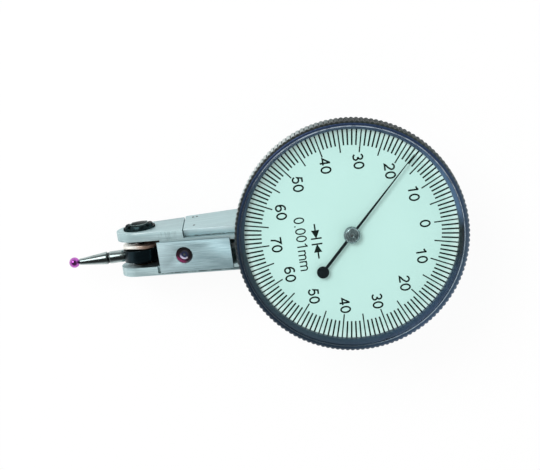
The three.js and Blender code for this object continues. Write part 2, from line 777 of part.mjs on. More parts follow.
// A flat spiral strip, from the collet out to the stud
function hairspringGeometry() {
  const steps = hairspringTurns * coarse;
  const inner = [];
  const outer = [];
  for (let i = 0; i <= steps; i += 1) {
    const angle = (2 * Math.PI * i) / coarse;
    const radius = hairspringInner + (hairspringPitch * i) / coarse;
    const c = Math.cos(angle);
    const s = Math.sin(angle);
    inner.push([(radius - hairspringWidth / 2) * c, (radius - hairspringWidth / 2) * s]);
    outer.push([(radius + hairspringWidth / 2) * c, (radius + hairspringWidth / 2) * s]);
  }
  const z0 = bridgeBottomZ + bridgeThickness + runningGap;
  return slabZ(outline([...outer, ...inner.reverse()]), z0, z0 + hairspringHeight);
}

const hairspringOuter = hairspringInner + hairspringPitch * hairspringTurns;
const studX = hairspringOuter + hairspringWidth / 2 + fitGap + studRadius;

function bridgeCorners() {
  return [
    [caseInnerRadius * bridgeFrontShare, 0],
    [-wheelSpacing, caseInnerRadius * bridgeHalfSpanShare],
    [-wheelSpacing, -caseInnerRadius * bridgeHalfSpanShare],
  ];
}

function bridgeGeometry() {
  const top = bridgeBottomZ + bridgeThickness;
  const plate = slabZ(roundedPolygon(bridgeCorners(), bridgeCorner), bridgeBottomZ, top);
  const cuts = [
    rodZ(jewelRadius + fitGap, 0, 0, bridgeBottomZ - overrun, top + overrun),
    rodZ(jewelRadius + fitGap, wheelX, mechanismY, bridgeBottomZ - overrun, top + overrun),
  ];
  for (const [x, y] of bridgeCorners()) {
    cuts.push(rodZ(bridgeScrewRadius + fitGap, x, y, bridgeBottomZ - overrun, top + overrun));
  }
  return combine(plate, [], cuts);
}

function pillarGeometry() {
  return turnedZ(closedProfile([
    [bridgeScrewRadius + fitGap, caseFloorTopZ],
    [pillarRadius, caseFloorTopZ],
    [pillarRadius, bridgeBottomZ],
    [bridgeScrewRadius + fitGap, bridgeBottomZ],
  ]), coarse);
}

// The ruby in the plate fills its hole, and an oil sink runs down to the arbor's tip
function frontJewelGeometry() {
  const top = frontZ(sectorX) - frontJewelDrop;
  const bottom = top - jewelThickness;
  const radius = plateHoleRadius - fitGap;
  return turnedZ(closedProfile([
    [jewelHoleRadius, bottom],
    [radius, bottom],
    [radius, top],
    [jewelRadius, top],
    [jewelHoleRadius, top - jewelSinkDepth],
  ]), coarse);
}

function jewelGeometry(z0, z1, hole) {
  return turnedZ(closedProfile([
    [hole, z0],
    [jewelRadius, z0],
    [jewelRadius, z1],
    [hole, z1],
  ]), coarse);
}

// Rings of points from a closed profile, joined by quads, or by fans where a knurled ring
// of more points meets a plain one
function ringedGeometry(rings) {
  const positions = [];
  const starts = [];
  for (const { radius, z, count, root } of rings) {
    starts.push(positions.length / 3);
    for (let k = 0; k < count; k += 1) {
      const r = root && k % 2 !== 0 ? root : radius;
      const angle = (2 * Math.PI * k) / count;
      positions.push(r * Math.cos(angle), r * Math.sin(angle), z);
    }
  }
  const index = [];
  for (let i = 0; i < rings.length; i += 1) {
    const j = (i + 1) % rings.length;
    const a = (k) => starts[i] + (k % rings[i].count);
    const b = (k) => starts[j] + (k % rings[j].count);
    const steps = Math.min(rings[i].count, rings[j].count);
    const spanA = rings[i].count / steps;
    const spanB = rings[j].count / steps;
    for (let k = 0; k < steps; k += 1) {
      const halfA = k * spanA + Math.floor(spanA / 2);
      const halfB = k * spanB + Math.floor(spanB / 2);
      const nextA = (k + 1) * spanA;
      const nextB = (k + 1) * spanB;
      for (let m = k * spanA; m < halfA; m += 1) index.push(a(m), a(m + 1), b(k * spanB));
      for (let m = k * spanB; m < halfB; m += 1) index.push(a(k * spanA), b(m + 1), b(m));
      const farA = spanA > 1 ? halfA : nextA;
      const farB = spanB > 1 ? halfB : nextB;
      if (spanA === 1 && spanB === 1) {
        index.push(a(k), a(nextA), b(nextB));
        index.push(a(k), b(nextB), b(k));
      } else if (spanA > 1) {
        index.push(a(farA), b(nextB), b(k));
      } else {
        index.push(a(k), a(nextA), b(farB));
      }
      for (let m = halfA; spanA > 1 && m < nextA; m += 1) index.push(a(m), a(m + 1), b(nextB));
      for (let m = halfB; spanB > 1 && m < nextB; m += 1) index.push(a(nextA), b(m + 1), b(m));
    }
  }
  const geometry = new THREE.BufferGeometry();
  geometry.setAttribute('position', new THREE.BufferAttribute(new Float32Array(positions), 3));
  geometry.setIndex(index);
  return geometry;
}

// The knurl runs round the rim: every second point of its two rings is drawn in to the root
function bezelGeometry() {
  const bore = bezelBoreRadius;
  const shelfZ = bezelTopZ - crystalEdgeThickness;
  const shelf = crystalRadius + fitGap;
  const slopeTop = crystalRadius - crystalEdgeThickness / 2;
  const root = bezelRadius - knurlDepth;
  const count = knurlTeeth / 2;
  return ringedGeometry([
    { radius: bore, z: bezelBottomZ, count },
    { radius: bezelRadius - bezelChamfer, z: bezelBottomZ, count },
    { radius: bezelRadius, z: bezelBottomZ + bezelChamfer, count: 2 * knurlTeeth, root },
    { radius: bezelRadius, z: bezelTopZ - bezelChamfer, count: 2 * knurlTeeth, root },
    { radius: bezelRimRadius, z: bezelTopZ, count },
    { radius: shelf, z: bezelTopZ, count },
    { radius: shelf, z: shelfZ, count },
    { radius: slopeTop, z: shelfZ, count },
    { radius: bezelWindowRadius, z: dialZ + bezelLipRise, count },
    { radius: bezelWindowRadius, z: dialZ, count },
    { radius: bore, z: dialZ, count },
  ]);
}

function crystalGeometry() {
  const seatZ = bezelTopZ - crystalEdgeThickness;
  const rim = crystalRadius - crystalEdgeThickness;
  return turnedZ([
    [0, seatZ],
    [crystalRadius, seatZ],
    [crystalRadius, bezelTopZ],
    [rim, seatZ + crystalThickness],
    [0, seatZ + crystalThickness],
  ], fine);
}

function bladeGeometry() {
  const top = pointerZ + pointerThickness;
  const shape = outline([
    [0, -needleRootWidth / 2],
    [needleLength, -needleTipWidth / 2],
    [needleLength, needleTipWidth / 2],
    [0, needleRootWidth / 2],
  ]);
  const needle = slabZ(shape, pointerZ, top);
  const tail = block(-tailLength, 0, -tailWidth / 2, tailWidth / 2, pointerZ, top);
  const disc = rodZ(tailDiscRadius, -tailLength, 0, pointerZ, top, medium);
  const boss = rodZ(pointerBossRadius, 0, 0, pointerZ, top, medium);
  const bore = rodZ(arborRadius + fitGap, 0, 0, pointerZ - overrun, top + overrun);
  return combine(needle, [tail, disc, boss], [bore]);
}

function hubGeometry() {
  const base = pointerZ + pointerThickness;
  return turnedZ(hubProfile(base, base + hubHeight), medium);
}

function hubProfile(base, top) {
  const floor = top - hubDimpleRadius / 2;
  return [
    [0, pointerZ + hubHeight + fitGap],
    [arborRadius + fitGap, pointerZ + hubHeight + fitGap],
    [arborRadius + fitGap, base],
    [hubRadius, base],
    [hubRadius, floor],
    [hubRadius - hubDimpleRadius / 2, top],
    [hubDimpleRadius, top],
    [0, floor],
  ];
}

function addFrame(root) {
  piece('main_body', mainBodyGeometry(), steel, root);
  piece('front_plate', frontPlateGeometry(), steel, root);
  piece('side_dovetail', sideRailGeometry(), steel, root);
  piece('rear_dovetail', rearRailGeometry(), steel, root);
  const places = rearScrewPlaces();
  for (let i = 0; i < places.length; i += 1) {
    const seat = placed(places[i], 0, runningGap, root);
    const screw = slottedScrew(
      rearScrewRadius, rearScrewHeadRadius, rearScrewHeadHeight, rearScrewLength, rearScrewSlot);
    piece(`rear_dovetail_screw_${i + 1}`, screw, darkSteel, seat);
  }
}

function addPivot(root) {
  const pivot = placed(pivotX, 0, pivotZ, root);
  piece('pivot_nut', pivotNutGeometry(), darkSteel, pivot);
  piece('lower_pivot_screw', lowerPlugGeometry(), darkSteel, pivot);
  piece('upper_bearing', bearingGeometry(forkHalfGap), brass, pivot);
  piece('lower_bearing', bearingGeometry(-forkHalfGap - bearingHeight), brass, pivot);
  piece('inner_lever', innerLeverGeometry(), darkSteel, pivot);
  const clampWasher = washerGeometry(clampWasherRadius, clampWasherTop, clampWasherThickness);
  piece('clamp_washer', clampWasher, darkSteel, pivot);
  piece('friction_washer', waveWasherGeometry(), bronze, pivot);
  piece('lever_holder', drumGeometry(), darkSteel, pivot);
  const stylusLine = placed(0, mechanismY, 0, pivot);
  piece('stylus', stylusGeometry(), steel, stylusLine);
  const ball = new THREE.SphereGeometry(ballRadius, coarse, coarse / 2);
  piece('stylus_ball', ball, ruby, placed(-stylusLength, 0, 0, stylusLine));
}

function addMovement(root) {
  const sectorPlace = placed(sectorX, mechanismY, 0, root);
  piece('sector_lever', sectorLeverGeometry(), steel, sectorPlace);
  piece('front_jewel', frontJewelGeometry(), ruby, sectorPlace);
  const pocketJewelZ = leverPocketBottomZ - jewelThickness;
  piece('sector_jewel', jewelGeometry(pocketJewelZ, leverPocketBottomZ, jewelHoleRadius), ruby, sectorPlace);

  const wheelPlace = placed(wheelX, mechanismY, 0, root);
  piece('intermediate_pinion', intermediateArborGeometry(), steel, wheelPlace);
  piece('intermediate_wheel', wheelGeometry(), brass, wheelPlace);
  const channelJewelZ = channelBottomZ - jewelThickness;
  piece('wheel_lower_jewel', jewelGeometry(channelJewelZ, channelBottomZ, jewelHoleRadius), ruby, wheelPlace);
  const bridgeTop = bridgeBottomZ + bridgeThickness;
  piece('wheel_upper_jewel', jewelGeometry(bridgeBottomZ, bridgeTop, jewelHoleRadius), ruby, wheelPlace);

  const floorJewelZ = caseFloorTopZ - jewelThickness;
  piece('centre_lower_jewel', jewelGeometry(floorJewelZ, caseFloorTopZ, jewelHoleRadius), ruby, root);
  piece('centre_upper_jewel', jewelGeometry(bridgeBottomZ, bridgeTop, arborRadius + fitGap), ruby, root);
  piece('bridge', bridgeGeometry(), brass, root);
  const corners = bridgeCorners();
  for (let i = 0; i < corners.length; i += 1) {
    const [x, y] = corners[i];
    piece(`bridge_pillar_${i + 1}`, pillarGeometry(), brass, placed(x, y, 0, root));
    const screwLength = bridgeThickness + (bridgeBottomZ - caseFloorTopZ) / 2;
    const screw = slottedScrew(
      bridgeScrewRadius, bridgeScrewHeadRadius, bridgeScrewHeadHeight, screwLength, bridgeScrewSlot);
    const screwPlace = placed(x, y, bridgeTop + bridgeScrewHeadHeight, root);
    piece(`bridge_screw_${i + 1}`, screw.rotateX(Math.PI), darkSteel, screwPlace);
  }
  piece('hairspring', hairspringGeometry(), springSteel, root);
  piece('hairspring_stud', rodZ(studRadius, studX, 0, bridgeTop, bridgeTop + studHeight), brass, root);
}

function addDial(root) {
  const dialShape = new THREE.Shape().absarc(0, 0, dialRadius, 0, 2 * Math.PI, false);
  dialShape.holes.push(new THREE.Path().absarc(0, 0, dialHoleRadius, 0, 2 * Math.PI, true));
  piece('dial_plate', slabZ(dialShape, dialZ - dialThickness, dialZ, fine / 2), mint, root);
  piece('bezel', bezelGeometry(), bezelBlue, root);
  piece('crystal', crystalGeometry(), glass, root);
  const wireRadius = (caseNeckRadius + bezelBoreRadius) / 2;
  const wire = new THREE.TorusGeometry(wireRadius, ringWireRadius, coarse / 4, fine);
  piece('bezel_spring_ring', wire, steel, placed(0, 0, (bezelBottomZ + caseNeckTopZ) / 2, root));
}

function addPointer(root) {
  piece('pointer_arbor', pointerArborGeometry(), steel, root);
  const turned = placed(0, 0, 0, root);
  turned.rotation.z = pointerAngle;
  piece('pointer', bladeGeometry(), darkSteel, turned);
  piece('pointer_hub', hubGeometry(), steel, turned);
}

const group = new THREE.Group();
addFrame(group);
addPivot(group);
addMovement(group);
addDial(group);
addPointer(group);

export default group;
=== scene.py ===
"""A lever-type dial test indicator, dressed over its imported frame.

The axes are the frame's own: +Z out of the dial, -X towards the stylus, +Y towards the side
rail. Sizes are written in millimetres and multiplied by MM.
"""
import math

import bmesh
import bpy
from mathutils import Matrix, Vector


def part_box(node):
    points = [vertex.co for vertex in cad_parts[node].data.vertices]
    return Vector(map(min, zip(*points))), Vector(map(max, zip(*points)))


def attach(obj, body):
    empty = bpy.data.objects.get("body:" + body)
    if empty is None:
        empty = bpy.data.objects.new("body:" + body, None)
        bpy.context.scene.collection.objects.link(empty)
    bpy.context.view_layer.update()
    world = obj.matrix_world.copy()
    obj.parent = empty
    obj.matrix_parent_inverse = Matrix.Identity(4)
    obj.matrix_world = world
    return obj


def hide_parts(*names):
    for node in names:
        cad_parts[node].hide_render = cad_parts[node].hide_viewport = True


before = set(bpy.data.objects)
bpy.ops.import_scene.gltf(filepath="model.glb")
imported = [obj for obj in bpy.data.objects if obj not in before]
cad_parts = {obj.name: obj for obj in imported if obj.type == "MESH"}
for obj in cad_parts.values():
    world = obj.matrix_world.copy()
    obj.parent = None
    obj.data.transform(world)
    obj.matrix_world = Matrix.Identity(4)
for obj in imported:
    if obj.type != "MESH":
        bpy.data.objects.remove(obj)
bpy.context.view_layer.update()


# Body and arm
# One block of tool steel: a forked arm that rises as a wedge to a turned pan behind the dial.
# It is ground along its length, left satin, and its edges are broken by hand with a stone.
MM = 0.001


class Signal:
    """A node's output, which goes into sums as a number does."""

    def __init__(self, finish, socket):
        self.finish = finish
        self.socket = socket

    def combined(self, operation, first, second):
        return self.finish.node(
            "ShaderNodeMath", {"operation": operation}, {0: first, 1: second})

    def __add__(self, other):
        return self.combined("ADD", self, other)

    def __sub__(self, other):
        return self.combined("SUBTRACT", self, other)

    def __rsub__(self, other):
        return self.combined("SUBTRACT", other, self)

    def __mul__(self, other):
        return self.combined("MULTIPLY", self, other)

    def __lt__(self, other):
        return self.combined("LESS_THAN", self, other)

    def __gt__(self, other):
        return self.combined("GREATER_THAN", self, other)

    __radd__ = __add__
    __rmul__ = __mul__


class Finish:
    """A surface: one shader with its uniform values, and the nodes that vary the rest.

    Its colour is the last one painted, so that a patch can be laid over it.
    """

    def __init__(self, name, uniform=None, tree=None):
        if tree is None:
            self.material = bpy.data.materials.new(name)
            self.material.use_nodes = True
            tree = self.material.node_tree
            self.shader = tree.nodes["Principled BSDF"]
        self.tree = tree
        for socket, value in (uniform or {}).items():
            self.vary(socket, value)
        self.place = self.node("ShaderNodeTexCoord", output="Object")

    def node(self, kind, settings=None, inputs=None, output=0):
        """Makes one node, its settings first, and gives back one of its outputs."""
        made = self.tree.nodes.new(kind)
        for key, value in (settings or {}).items():
            if key == "stops":
                stops = made.color_ramp.elements
                stops.remove(stops[1])
                stops[0].position, stops[0].color = value[0]
                for position, colour in value[1:]:
                    stops.new(position).color = colour
            else:
                setattr(made, key, value)
        for key, value in (inputs or {}).items():
            self.feed(made.inputs[key], value)
        return Signal(self, made.outputs[output])

    def feed(self, socket, value):
        if isinstance(value, Signal):
            self.tree.links.new(value.socket, socket)
        else:
            socket.default_value = value

    def vary(self, socket, value):
        """Sets one socket of the shader, or links it to what varies."""
        self.feed(self.shader.inputs[socket], value)

    def split(self, vector):
        return [self.node("ShaderNodeSeparateXYZ", {}, {0: vector}, output=i) for i in range(3)]

    def parts(self):
        """The place on the object as three numbers, in metres."""
        return self.split(self.place)

    def facing(self):
        """The direction that the surface faces, as three numbers from -1 to 1."""
        return self.split(self.node("ShaderNodeNewGeometry", output="Normal"))

    def reach(self, across, along):
        """How far a point lies from an axis, from its two offsets."""
        return self.node(
            "ShaderNodeMath", {"operation": "SQRT"}, {0: across * across + along * along})

    def noise(self, scale, detail=2.0, roughness=0.5):
        """Fine noise with its own scale along each axis, in waves per millimetre."""
        waves = tuple(s / MM for s in scale)
        stretched = self.node(
            "ShaderNodeVectorMath", {"operation": "MULTIPLY"}, {0: self.place, 1: waves})
        return self.node("ShaderNodeTexNoise", {}, {
            "Vector": stretched, "Scale": 1.0, "Detail": detail, "Roughness": roughness})

    def between(self, factor, low, high):
        """One colour where the factor is 0, the other where it is 1."""
        return self.node(
            "ShaderNodeMix", {"data_type": "RGBA"}, {0: factor, 6: low, 7: high}, output=2)

    def ramp(self, factor, *stops):
        return self.node("ShaderNodeValToRGB", {"stops": stops}, {0: factor})

    def paint(self, colour):
        self.colour = colour
        self.vary("Base Color", colour)

    def patch(self, factor, colour):
        """Lays a colour over the present one, as far as the factor goes."""
        self.paint(self.between(factor, self.colour, colour))

    def relief(self, height, depth):
        self.vary("Normal", self.node(
            "ShaderNodeBump", {}, {"Strength": 1.0, "Distance": depth * MM, "Height": height}))


def within(place, low, high):
    """1 where a place lies between two bounds, given in millimetres, and 0 elsewhere."""
    return (place > low * MM) * (place < high * MM)


def tone(code):
    """A colour as it shows on a screen, turned into the linear values that nodes take."""
    values = []
    for shift in (16, 8, 0):
        share = ((code >> shift) & 255) / 255
        values.append(share / 12.92 if share <= 0.04045 else ((share + 0.055) / 1.055) ** 2.4)
    return (*values, 1.0)


def grey(value):
    return (value, value, value, 1.0)


def satin_steel(name, light, dark, along, across):
    """Ground steel. The grain runs along X on upper faces and level round upright walls."""
    steel = Finish(name, {"Metallic": 0.6, "Specular IOR Level": 0.3})
    upward = steel.facing()[2]
    upright = upward * upward < 0.4
    front_grain = steel.noise((along, across, along), 4.0, 0.7)
    side_grain = steel.noise((along, along, across), 4.0, 0.7)
    grain = front_grain + (side_grain - front_grain) * upright
    bands = steel.noise((along / 3, across / 8, along / 3), 2.0)
    blotches = steel.noise((0.25, 0.25, 0.25), 3.0, 0.6)
    shade = 0.165 + grain * 0.6 + bands * 0.04 + blotches * 0.03
    steel.paint(steel.ramp(shade, (0.4, tone(dark)), (0.6, tone(light))))
    steel.vary("Roughness", 0.34 + grain * 0.18 + blotches * 0.06)
    steel.relief(grain, 0.006)
    return steel


def as_mesh(name, shape):
    mesh = bpy.data.meshes.new(name)
    shape.to_mesh(mesh)
    shape.free()
    return mesh


def dressed(name, mesh, finish, body, slot, *replaced, crease=None):
    """A finished piece: smooth mesh, surface, its body, and the solids that it stands for.

    Edges that turn by more than the crease stay sharp, in degrees.
    """
    piece = bpy.data.objects.new(name, mesh)
    bpy.context.collection.objects.link(piece)
    mesh.materials.clear()
    mesh.materials.append(finish.material)
    mesh.polygons.foreach_set("use_smooth", [True] * len(mesh.polygons))
    if crease is not None:
        mesh.set_sharp_from_angle(angle=math.radians(crease))
    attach(piece, body)
    if replaced:
        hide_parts(*replaced)
    return piece


def softened(name, node, finish, body, slot, width, segments=2):
    """The CAD solid with its flat faces joined up and its edges broken by a small round."""
    shape = bmesh.new()
    shape.from_mesh(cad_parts[node].data)
    bmesh.ops.remove_doubles(shape, verts=shape.verts, dist=0.002 * MM)
    bmesh.ops.dissolve_limit(
        shape, angle_limit=math.radians(1), verts=shape.verts, edges=shape.edges)
    piece = dressed(name, as_mesh(name, shape), finish, body, slot, node)
    edges = piece.modifiers.new("broken edges", "BEVEL")
    edges.width = width * MM
    edges.segments = segments
    edges.limit_method = "ANGLE"
    edges.angle_limit = math.radians(30)
    edges.use_clamp_overlap = True
    edges.harden_normals = True


ARM_HALF_HEIGHT = 3.9
FORK_MOUTH_X = -33.6

arm_steel = satin_steel("satin_steel_arm", 0xBDD4D6, 0x99B4B8, 0.09, 4.0)
arm_x, arm_y = arm_steel.parts()[:2]
arm_side, arm_front = arm_steel.facing()[1:]

# Faint upright cutter marks beside the nut.
mill_lines = arm_steel.noise((6.0, 0.5, 0.5), 3.0, 0.7)
mill_zone = within(arm_x, -33.4, -30.0) * within(arm_y, 2.2, ARM_HALF_HEIGHT - 0.12)
mill_cover = arm_steel.ramp(mill_lines, (0.48, grey(0.0)), (0.6, grey(0.32)))
arm_steel.patch(mill_zone * mill_cover, tone(0x6E8488))

# A painted highlight makes the stoned edge between the arm's front and its upper side bright.
edge_highlight_facing = (arm_side > 0.25) * (arm_side < 0.93)
edge_highlight_band = within(arm_y, ARM_HALF_HEIGHT - 0.3, ARM_HALF_HEIGHT + 0.05)
arm_steel.patch(edge_highlight_facing * edge_highlight_band * 0.75, tone(0xF0FCFC))

# Painted shade darkens the lower ear's inner wall, towards the root of the fork.
shaded_slot_wall = (arm_side > 0.93) * (arm_y < 0.0) * (arm_x < (FORK_MOUTH_X + 0.4) * MM)
slot_shade_depth = arm_steel.ramp(
    arm_x * (-0.1 / MM) - 3.0, (0.7, grey(0.9)), (0.9, grey(0.0)))
arm_steel.patch(shaded_slot_wall * slot_shade_depth, tone(0x121A1C))

# A painted shadow line darkens the arm along the plate's lower joint.
seam_shadow_noise = arm_steel.noise((0.6, 0.2, 0.2), 3.0, 0.7)
seam_shadow_zone = (arm_front > 0.5) * within(arm_x, FORK_MOUTH_X, -20.0) * within(arm_y, -3.72, -3.4)
seam_shadow_cover = arm_steel.ramp(seam_shadow_noise, (0.38, grey(0.15)), (0.55, grey(0.8)))
arm_steel.patch(seam_shadow_zone * seam_shadow_cover, tone(0x3C4A4D))
softened("arm_and_case", "main_body", arm_steel, "body", "satin_steel", 0.16)


# Front plate
# A ground cover plate let into the arm's sloping face, over the lever work. It has one drilled
# hole, in which the jewel of the sector's arbor shows. Painted light and shade make it lighter
# by the fork and darker towards the case.
plate_steel = satin_steel("satin_steel_plate", 0xBAD6DB, 0x86A4AB, 0.26, 9.0)
plate_along = plate_steel.parts()[0] * (-0.05 / MM) - 0.9
# Painted light and shade: lighter towards the fork, darker towards the case.
plate_lit_end = plate_steel.ramp(plate_along, (0.45, grey(0.0)), (0.8, grey(0.35)))
plate_shaded_end = plate_steel.ramp(plate_along, (0.15, grey(0.3)), (0.45, grey(0.0)))
plate_steel.patch(plate_lit_end, tone(0xE0F6FA))
plate_steel.patch(plate_shaded_end, tone(0x7E9AA2))
softened("cover_plate", "front_plate", plate_steel, "body", "satin_steel", 0.09)


# Side dovetail
# A hardened rail let into the arm's upper side, ground flat and undercut along its edges.
# Painted shade darkens its foot, and a painted highlight makes the flank on the dial's side a
# little brighter.
flank_steel = satin_steel("satin_steel_side_rail", 0xBED3D5, 0xA0BABD, 0.08, 3.2)
rail_rise = flank_steel.parts()[1] * (0.1 / MM)
# Painted shade along the rail's foot, under the undercut.
foot_shade_zone = flank_steel.ramp(rail_rise, (0.245, grey(1.0)), (0.27, grey(0.0)))
foot_shade_noise = flank_steel.noise((0.5, 3.0, 3.0), 3.0, 0.7)
foot_shade_cover = flank_steel.ramp(foot_shade_noise, (0.44, grey(0.1)), (0.56, grey(0.95)))
# Painted highlight on the flank that faces the dial.
flank_highlight_facing = flank_steel.facing()[2] > 0.3
flank_steel.patch(flank_highlight_facing * 0.7, tone(0xE0F6FA))
flank_steel.patch(foot_shade_zone * foot_shade_cover, tone(0x2F3B3D))
softened("side_rail", "side_dovetail", flank_steel, "body", "satin_steel", 0.1)


# Punch marks
# Three small oval craters with a raised burr stake the side rail to the arm near its left
# end: two side by side towards the back of it, and one in front of them.
WELD = 0.0005 * MM
PUNCH_RADIUS = 0.23
PUNCH_DEPTH = 0.01
PUNCH_BURR = 0.035
PUNCH_LENGTHENING = 1.8
PUNCH_STEPS = 16
PUNCH_PLACES = ((-27.3, 0.13), (-26.62, 0.13), (-26.88, 0.62))


def joined(shape, rings, closed=False):
    """Skins the shape between each ring of points and the next."""
    pairs = list(zip(rings, rings[1:]))
    if closed:
        pairs.append((rings[-1], rings[0]))
    for one, two in pairs:
        for k in range(len(one)):
            n = (k + 1) % len(one)
            shape.faces.new((one[k], one[n], two[n], two[k]))


def cleaned(shape):
    """Welds the points that fall together and turns every face outwards."""
    bmesh.ops.remove_doubles(shape, verts=shape.verts, dist=WELD)
    bmesh.ops.recalc_face_normals(shape, faces=shape.faces)


# The craters are painted near-black: painted shade in their shallow hollows.
punch_shade_finish = Finish("punched_steel", {"Metallic": 0.6})
punch_cloud = punch_shade_finish.noise((2.5, 2.5, 2.5), 3.0, 0.7)
punch_shade_finish.paint(punch_shade_finish.ramp(
    punch_cloud, (0.46, tone(0x10181A)), (0.7, tone(0x4E5E60))))
punch_shade_finish.vary("Roughness", 0.3 + punch_cloud * 0.2)

rail_low, rail_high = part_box("side_dovetail")
punch_profile = [
    (0.0, -PUNCH_DEPTH), (PUNCH_RADIUS * 0.35, 0.004), (PUNCH_RADIUS * 0.7, 0.02),
    (PUNCH_RADIUS * 0.85, PUNCH_BURR), (PUNCH_RADIUS, 0.0)]
punch_shape = bmesh.new()
for mark_x, share in PUNCH_PLACES:
    mark_z = rail_low[2] + (rail_high[2] - rail_low[2]) * share
    joined(punch_shape, [[
        punch_shape.verts.new((
            (mark_x + reach * math.cos(a)) * MM,
            rail_high[1] + rise * MM,
            mark_z + PUNCH_LENGTHENING * reach * math.sin(a) * MM))
        for a in (math.tau * k / PUNCH_STEPS for k in range(PUNCH_STEPS))]
        for reach, rise in punch_profile])
cleaned(punch_shape)
dressed("rail_punch_marks", as_mesh("rail_punch_marks", punch_shape), punch_shade_finish,
        "body", "satin_steel")


# Rear dovetail
# The same section of rail across the back of the case, held by two slotted screws of
# oil-blackened steel.
rail_steel = satin_steel("satin_steel_rail", 0xC6DADB, 0xA8C1C4, 0.08, 2.6)
softened("rear_rail", "rear_dovetail", rail_steel, "body", "satin_steel", 0.05)


def blackened(name, light, dark, roughness):
    """Oil-blackened steel: a deep colour with faint turning marks and a soft gloss."""
    black = Finish(name, {"Metallic": 0.75})
    mottle = black.noise((1.3, 1.3, 1.3), 4.0, 0.6)
    fine = black.noise((14.0, 14.0, 14.0), 2.0)
    black.paint(black.ramp(mottle, (0.35, tone(dark)), (0.7, tone(light))))
    black.vary("Roughness", roughness + fine * 0.12)
    black.relief(fine, 0.003)
    return black


screw_black = blackened("blackened_screw", 0x3A4246, 0x1B2023, 0.28)
for number in (1, 2):
    softened(f"rail_screw_{number}", f"rear_dovetail_screw_{number}", screw_black, "body",
             "dark_steel", 0.05)


# Movement
# The going train inside the case: brass plates and wheel, polished steel arbors, ruby jewels
# and a blued hairspring. The dial covers it, so the solids keep their shape and get a finish.
def plain_metal(name, light, dark, roughness, scale):
    metal = Finish(name, {"Metallic": 1.0})
    cloud = metal.noise(scale, 3.0, 0.6)
    metal.paint(metal.ramp(cloud, (0.35, tone(dark)), (0.65, tone(light))))
    metal.vary("Roughness", roughness + cloud * 0.12)
    metal.relief(cloud, 0.002)
    return metal


def refinished(node, finish):
    """Gives a CAD solid its finish and leaves its shape alone."""
    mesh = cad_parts[node].data
    mesh.materials.clear()
    mesh.materials.append(finish.material)


movement_brass = plain_metal("satin_brass", 0xD8BE7A, 0xB5954F, 0.24, (0.8, 9.0, 9.0))
movement_steel = plain_metal(
    "polished_arbor_steel", 0xD5DEDF, 0xB4C0C2, 0.12, (6.0, 6.0, 1.0))
movement_blue = plain_metal("blued_spring_steel", 0x6A7CA6, 0x3C4A70, 0.2, (2.0, 2.0, 8.0))
movement_ruby = Finish("jewel_ruby", {
    "Metallic": 0.0, "Roughness": 0.04, "IOR": 1.76, "Specular IOR Level": 0.6,
    "Coat Weight": 0.6, "Coat Roughness": 0.02, "Transmission Weight": 0.15})
ruby_depth = movement_ruby.noise((0.9, 0.9, 0.9), 2.0)
movement_ruby.paint(movement_ruby.ramp(
    ruby_depth, (0.35, tone(0x8E0F45)), (0.7, tone(0xC42A6C))))
movement_finishes = {
    movement_brass: (
        "upper_bearing", "lower_bearing", "intermediate_wheel", "bridge", "bridge_pillar_1",
        "bridge_pillar_2", "bridge_pillar_3", "hairspring_stud"),
    movement_steel: ("sector_lever", "intermediate_pinion", "pointer_arbor"),
    movement_ruby: (
        "sector_jewel", "wheel_lower_jewel", "wheel_upper_jewel", "centre_lower_jewel",
        "centre_upper_jewel"),
    movement_blue: ("hairspring", "bezel_spring_ring"),
    screw_black: ("bridge_screw_1", "bridge_screw_2", "bridge_screw_3"),
}
for finish, nodes in movement_finishes.items():
    for node in nodes:
        refinished(node, finish)


# Jewel in the plate
# A bored ruby pressed into the plate's hole. Its oil sink is polished, and the end of the
# sector's arbor stands in it. The pocket behind is dark, and most of the stone is painted
# near-black as painted shade, with a painted lit crescent on the side towards the stylus and a
# painted glint in the oil sink.
def turned_mesh(name, profile, steps=96, shift=None, place=None):
    """A profile of (radius, height) turned about Z. Its ends are the same or on the axis.

    shift moves each point, and place moves and turns the whole, in metres.
    """
    closed = profile[0] == profile[-1]
    shape = bmesh.new()
    rings = []
    for radius, height in profile[:-1] if closed else profile:
        rings.append([])
        for k in range(steps):
            r, z = (radius, height) if shift is None else shift(radius, height, k / steps)
            angle = math.tau * k / steps
            rings[-1].append(shape.verts.new(
                (r * MM * math.cos(angle), r * MM * math.sin(angle), z * MM)))
    joined(shape, rings, closed)
    cleaned(shape)
    if place is not None:
        shape.transform(place)
    return as_mesh(name, shape)


JEWEL_CENTRE = (-29.2, -0.6)
JEWEL_RADIUS = 1.45
JEWEL_BORE_RADIUS = 0.25
SINK_RADIUS = 0.8
SINK_DEPTH = 0.18
ARBOR_RADIUS = 0.5

jewel_low, jewel_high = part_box("front_jewel")
jewel_bottom, jewel_top = jewel_low[2] / MM, jewel_high[2] / MM
jewel_profile = [
    (JEWEL_BORE_RADIUS, jewel_bottom), (JEWEL_RADIUS, jewel_bottom),
    (JEWEL_RADIUS, jewel_top - 0.06), (JEWEL_RADIUS - 0.02, jewel_top - 0.02),
    (JEWEL_RADIUS - 0.07, jewel_top), (SINK_RADIUS + 0.05, jewel_top),
    (SINK_RADIUS, jewel_top - 0.01), (0.65, jewel_top - 0.09), (0.45, jewel_top - 0.15),
    (JEWEL_BORE_RADIUS, jewel_top - SINK_DEPTH), (JEWEL_BORE_RADIUS, jewel_bottom)]
jewel_place = Matrix.Translation((JEWEL_CENTRE[0] * MM, JEWEL_CENTRE[1] * MM, 0))
jewel_stone = Finish("plate_jewel_ruby", {
    "Metallic": 0.0, "Roughness": 0.06, "IOR": 1.76, "Coat Weight": 0.4,
    "Coat Roughness": 0.03})
jewel_x, jewel_y = (
    part - centre * MM for part, centre in zip(jewel_stone.parts(), JEWEL_CENTRE))
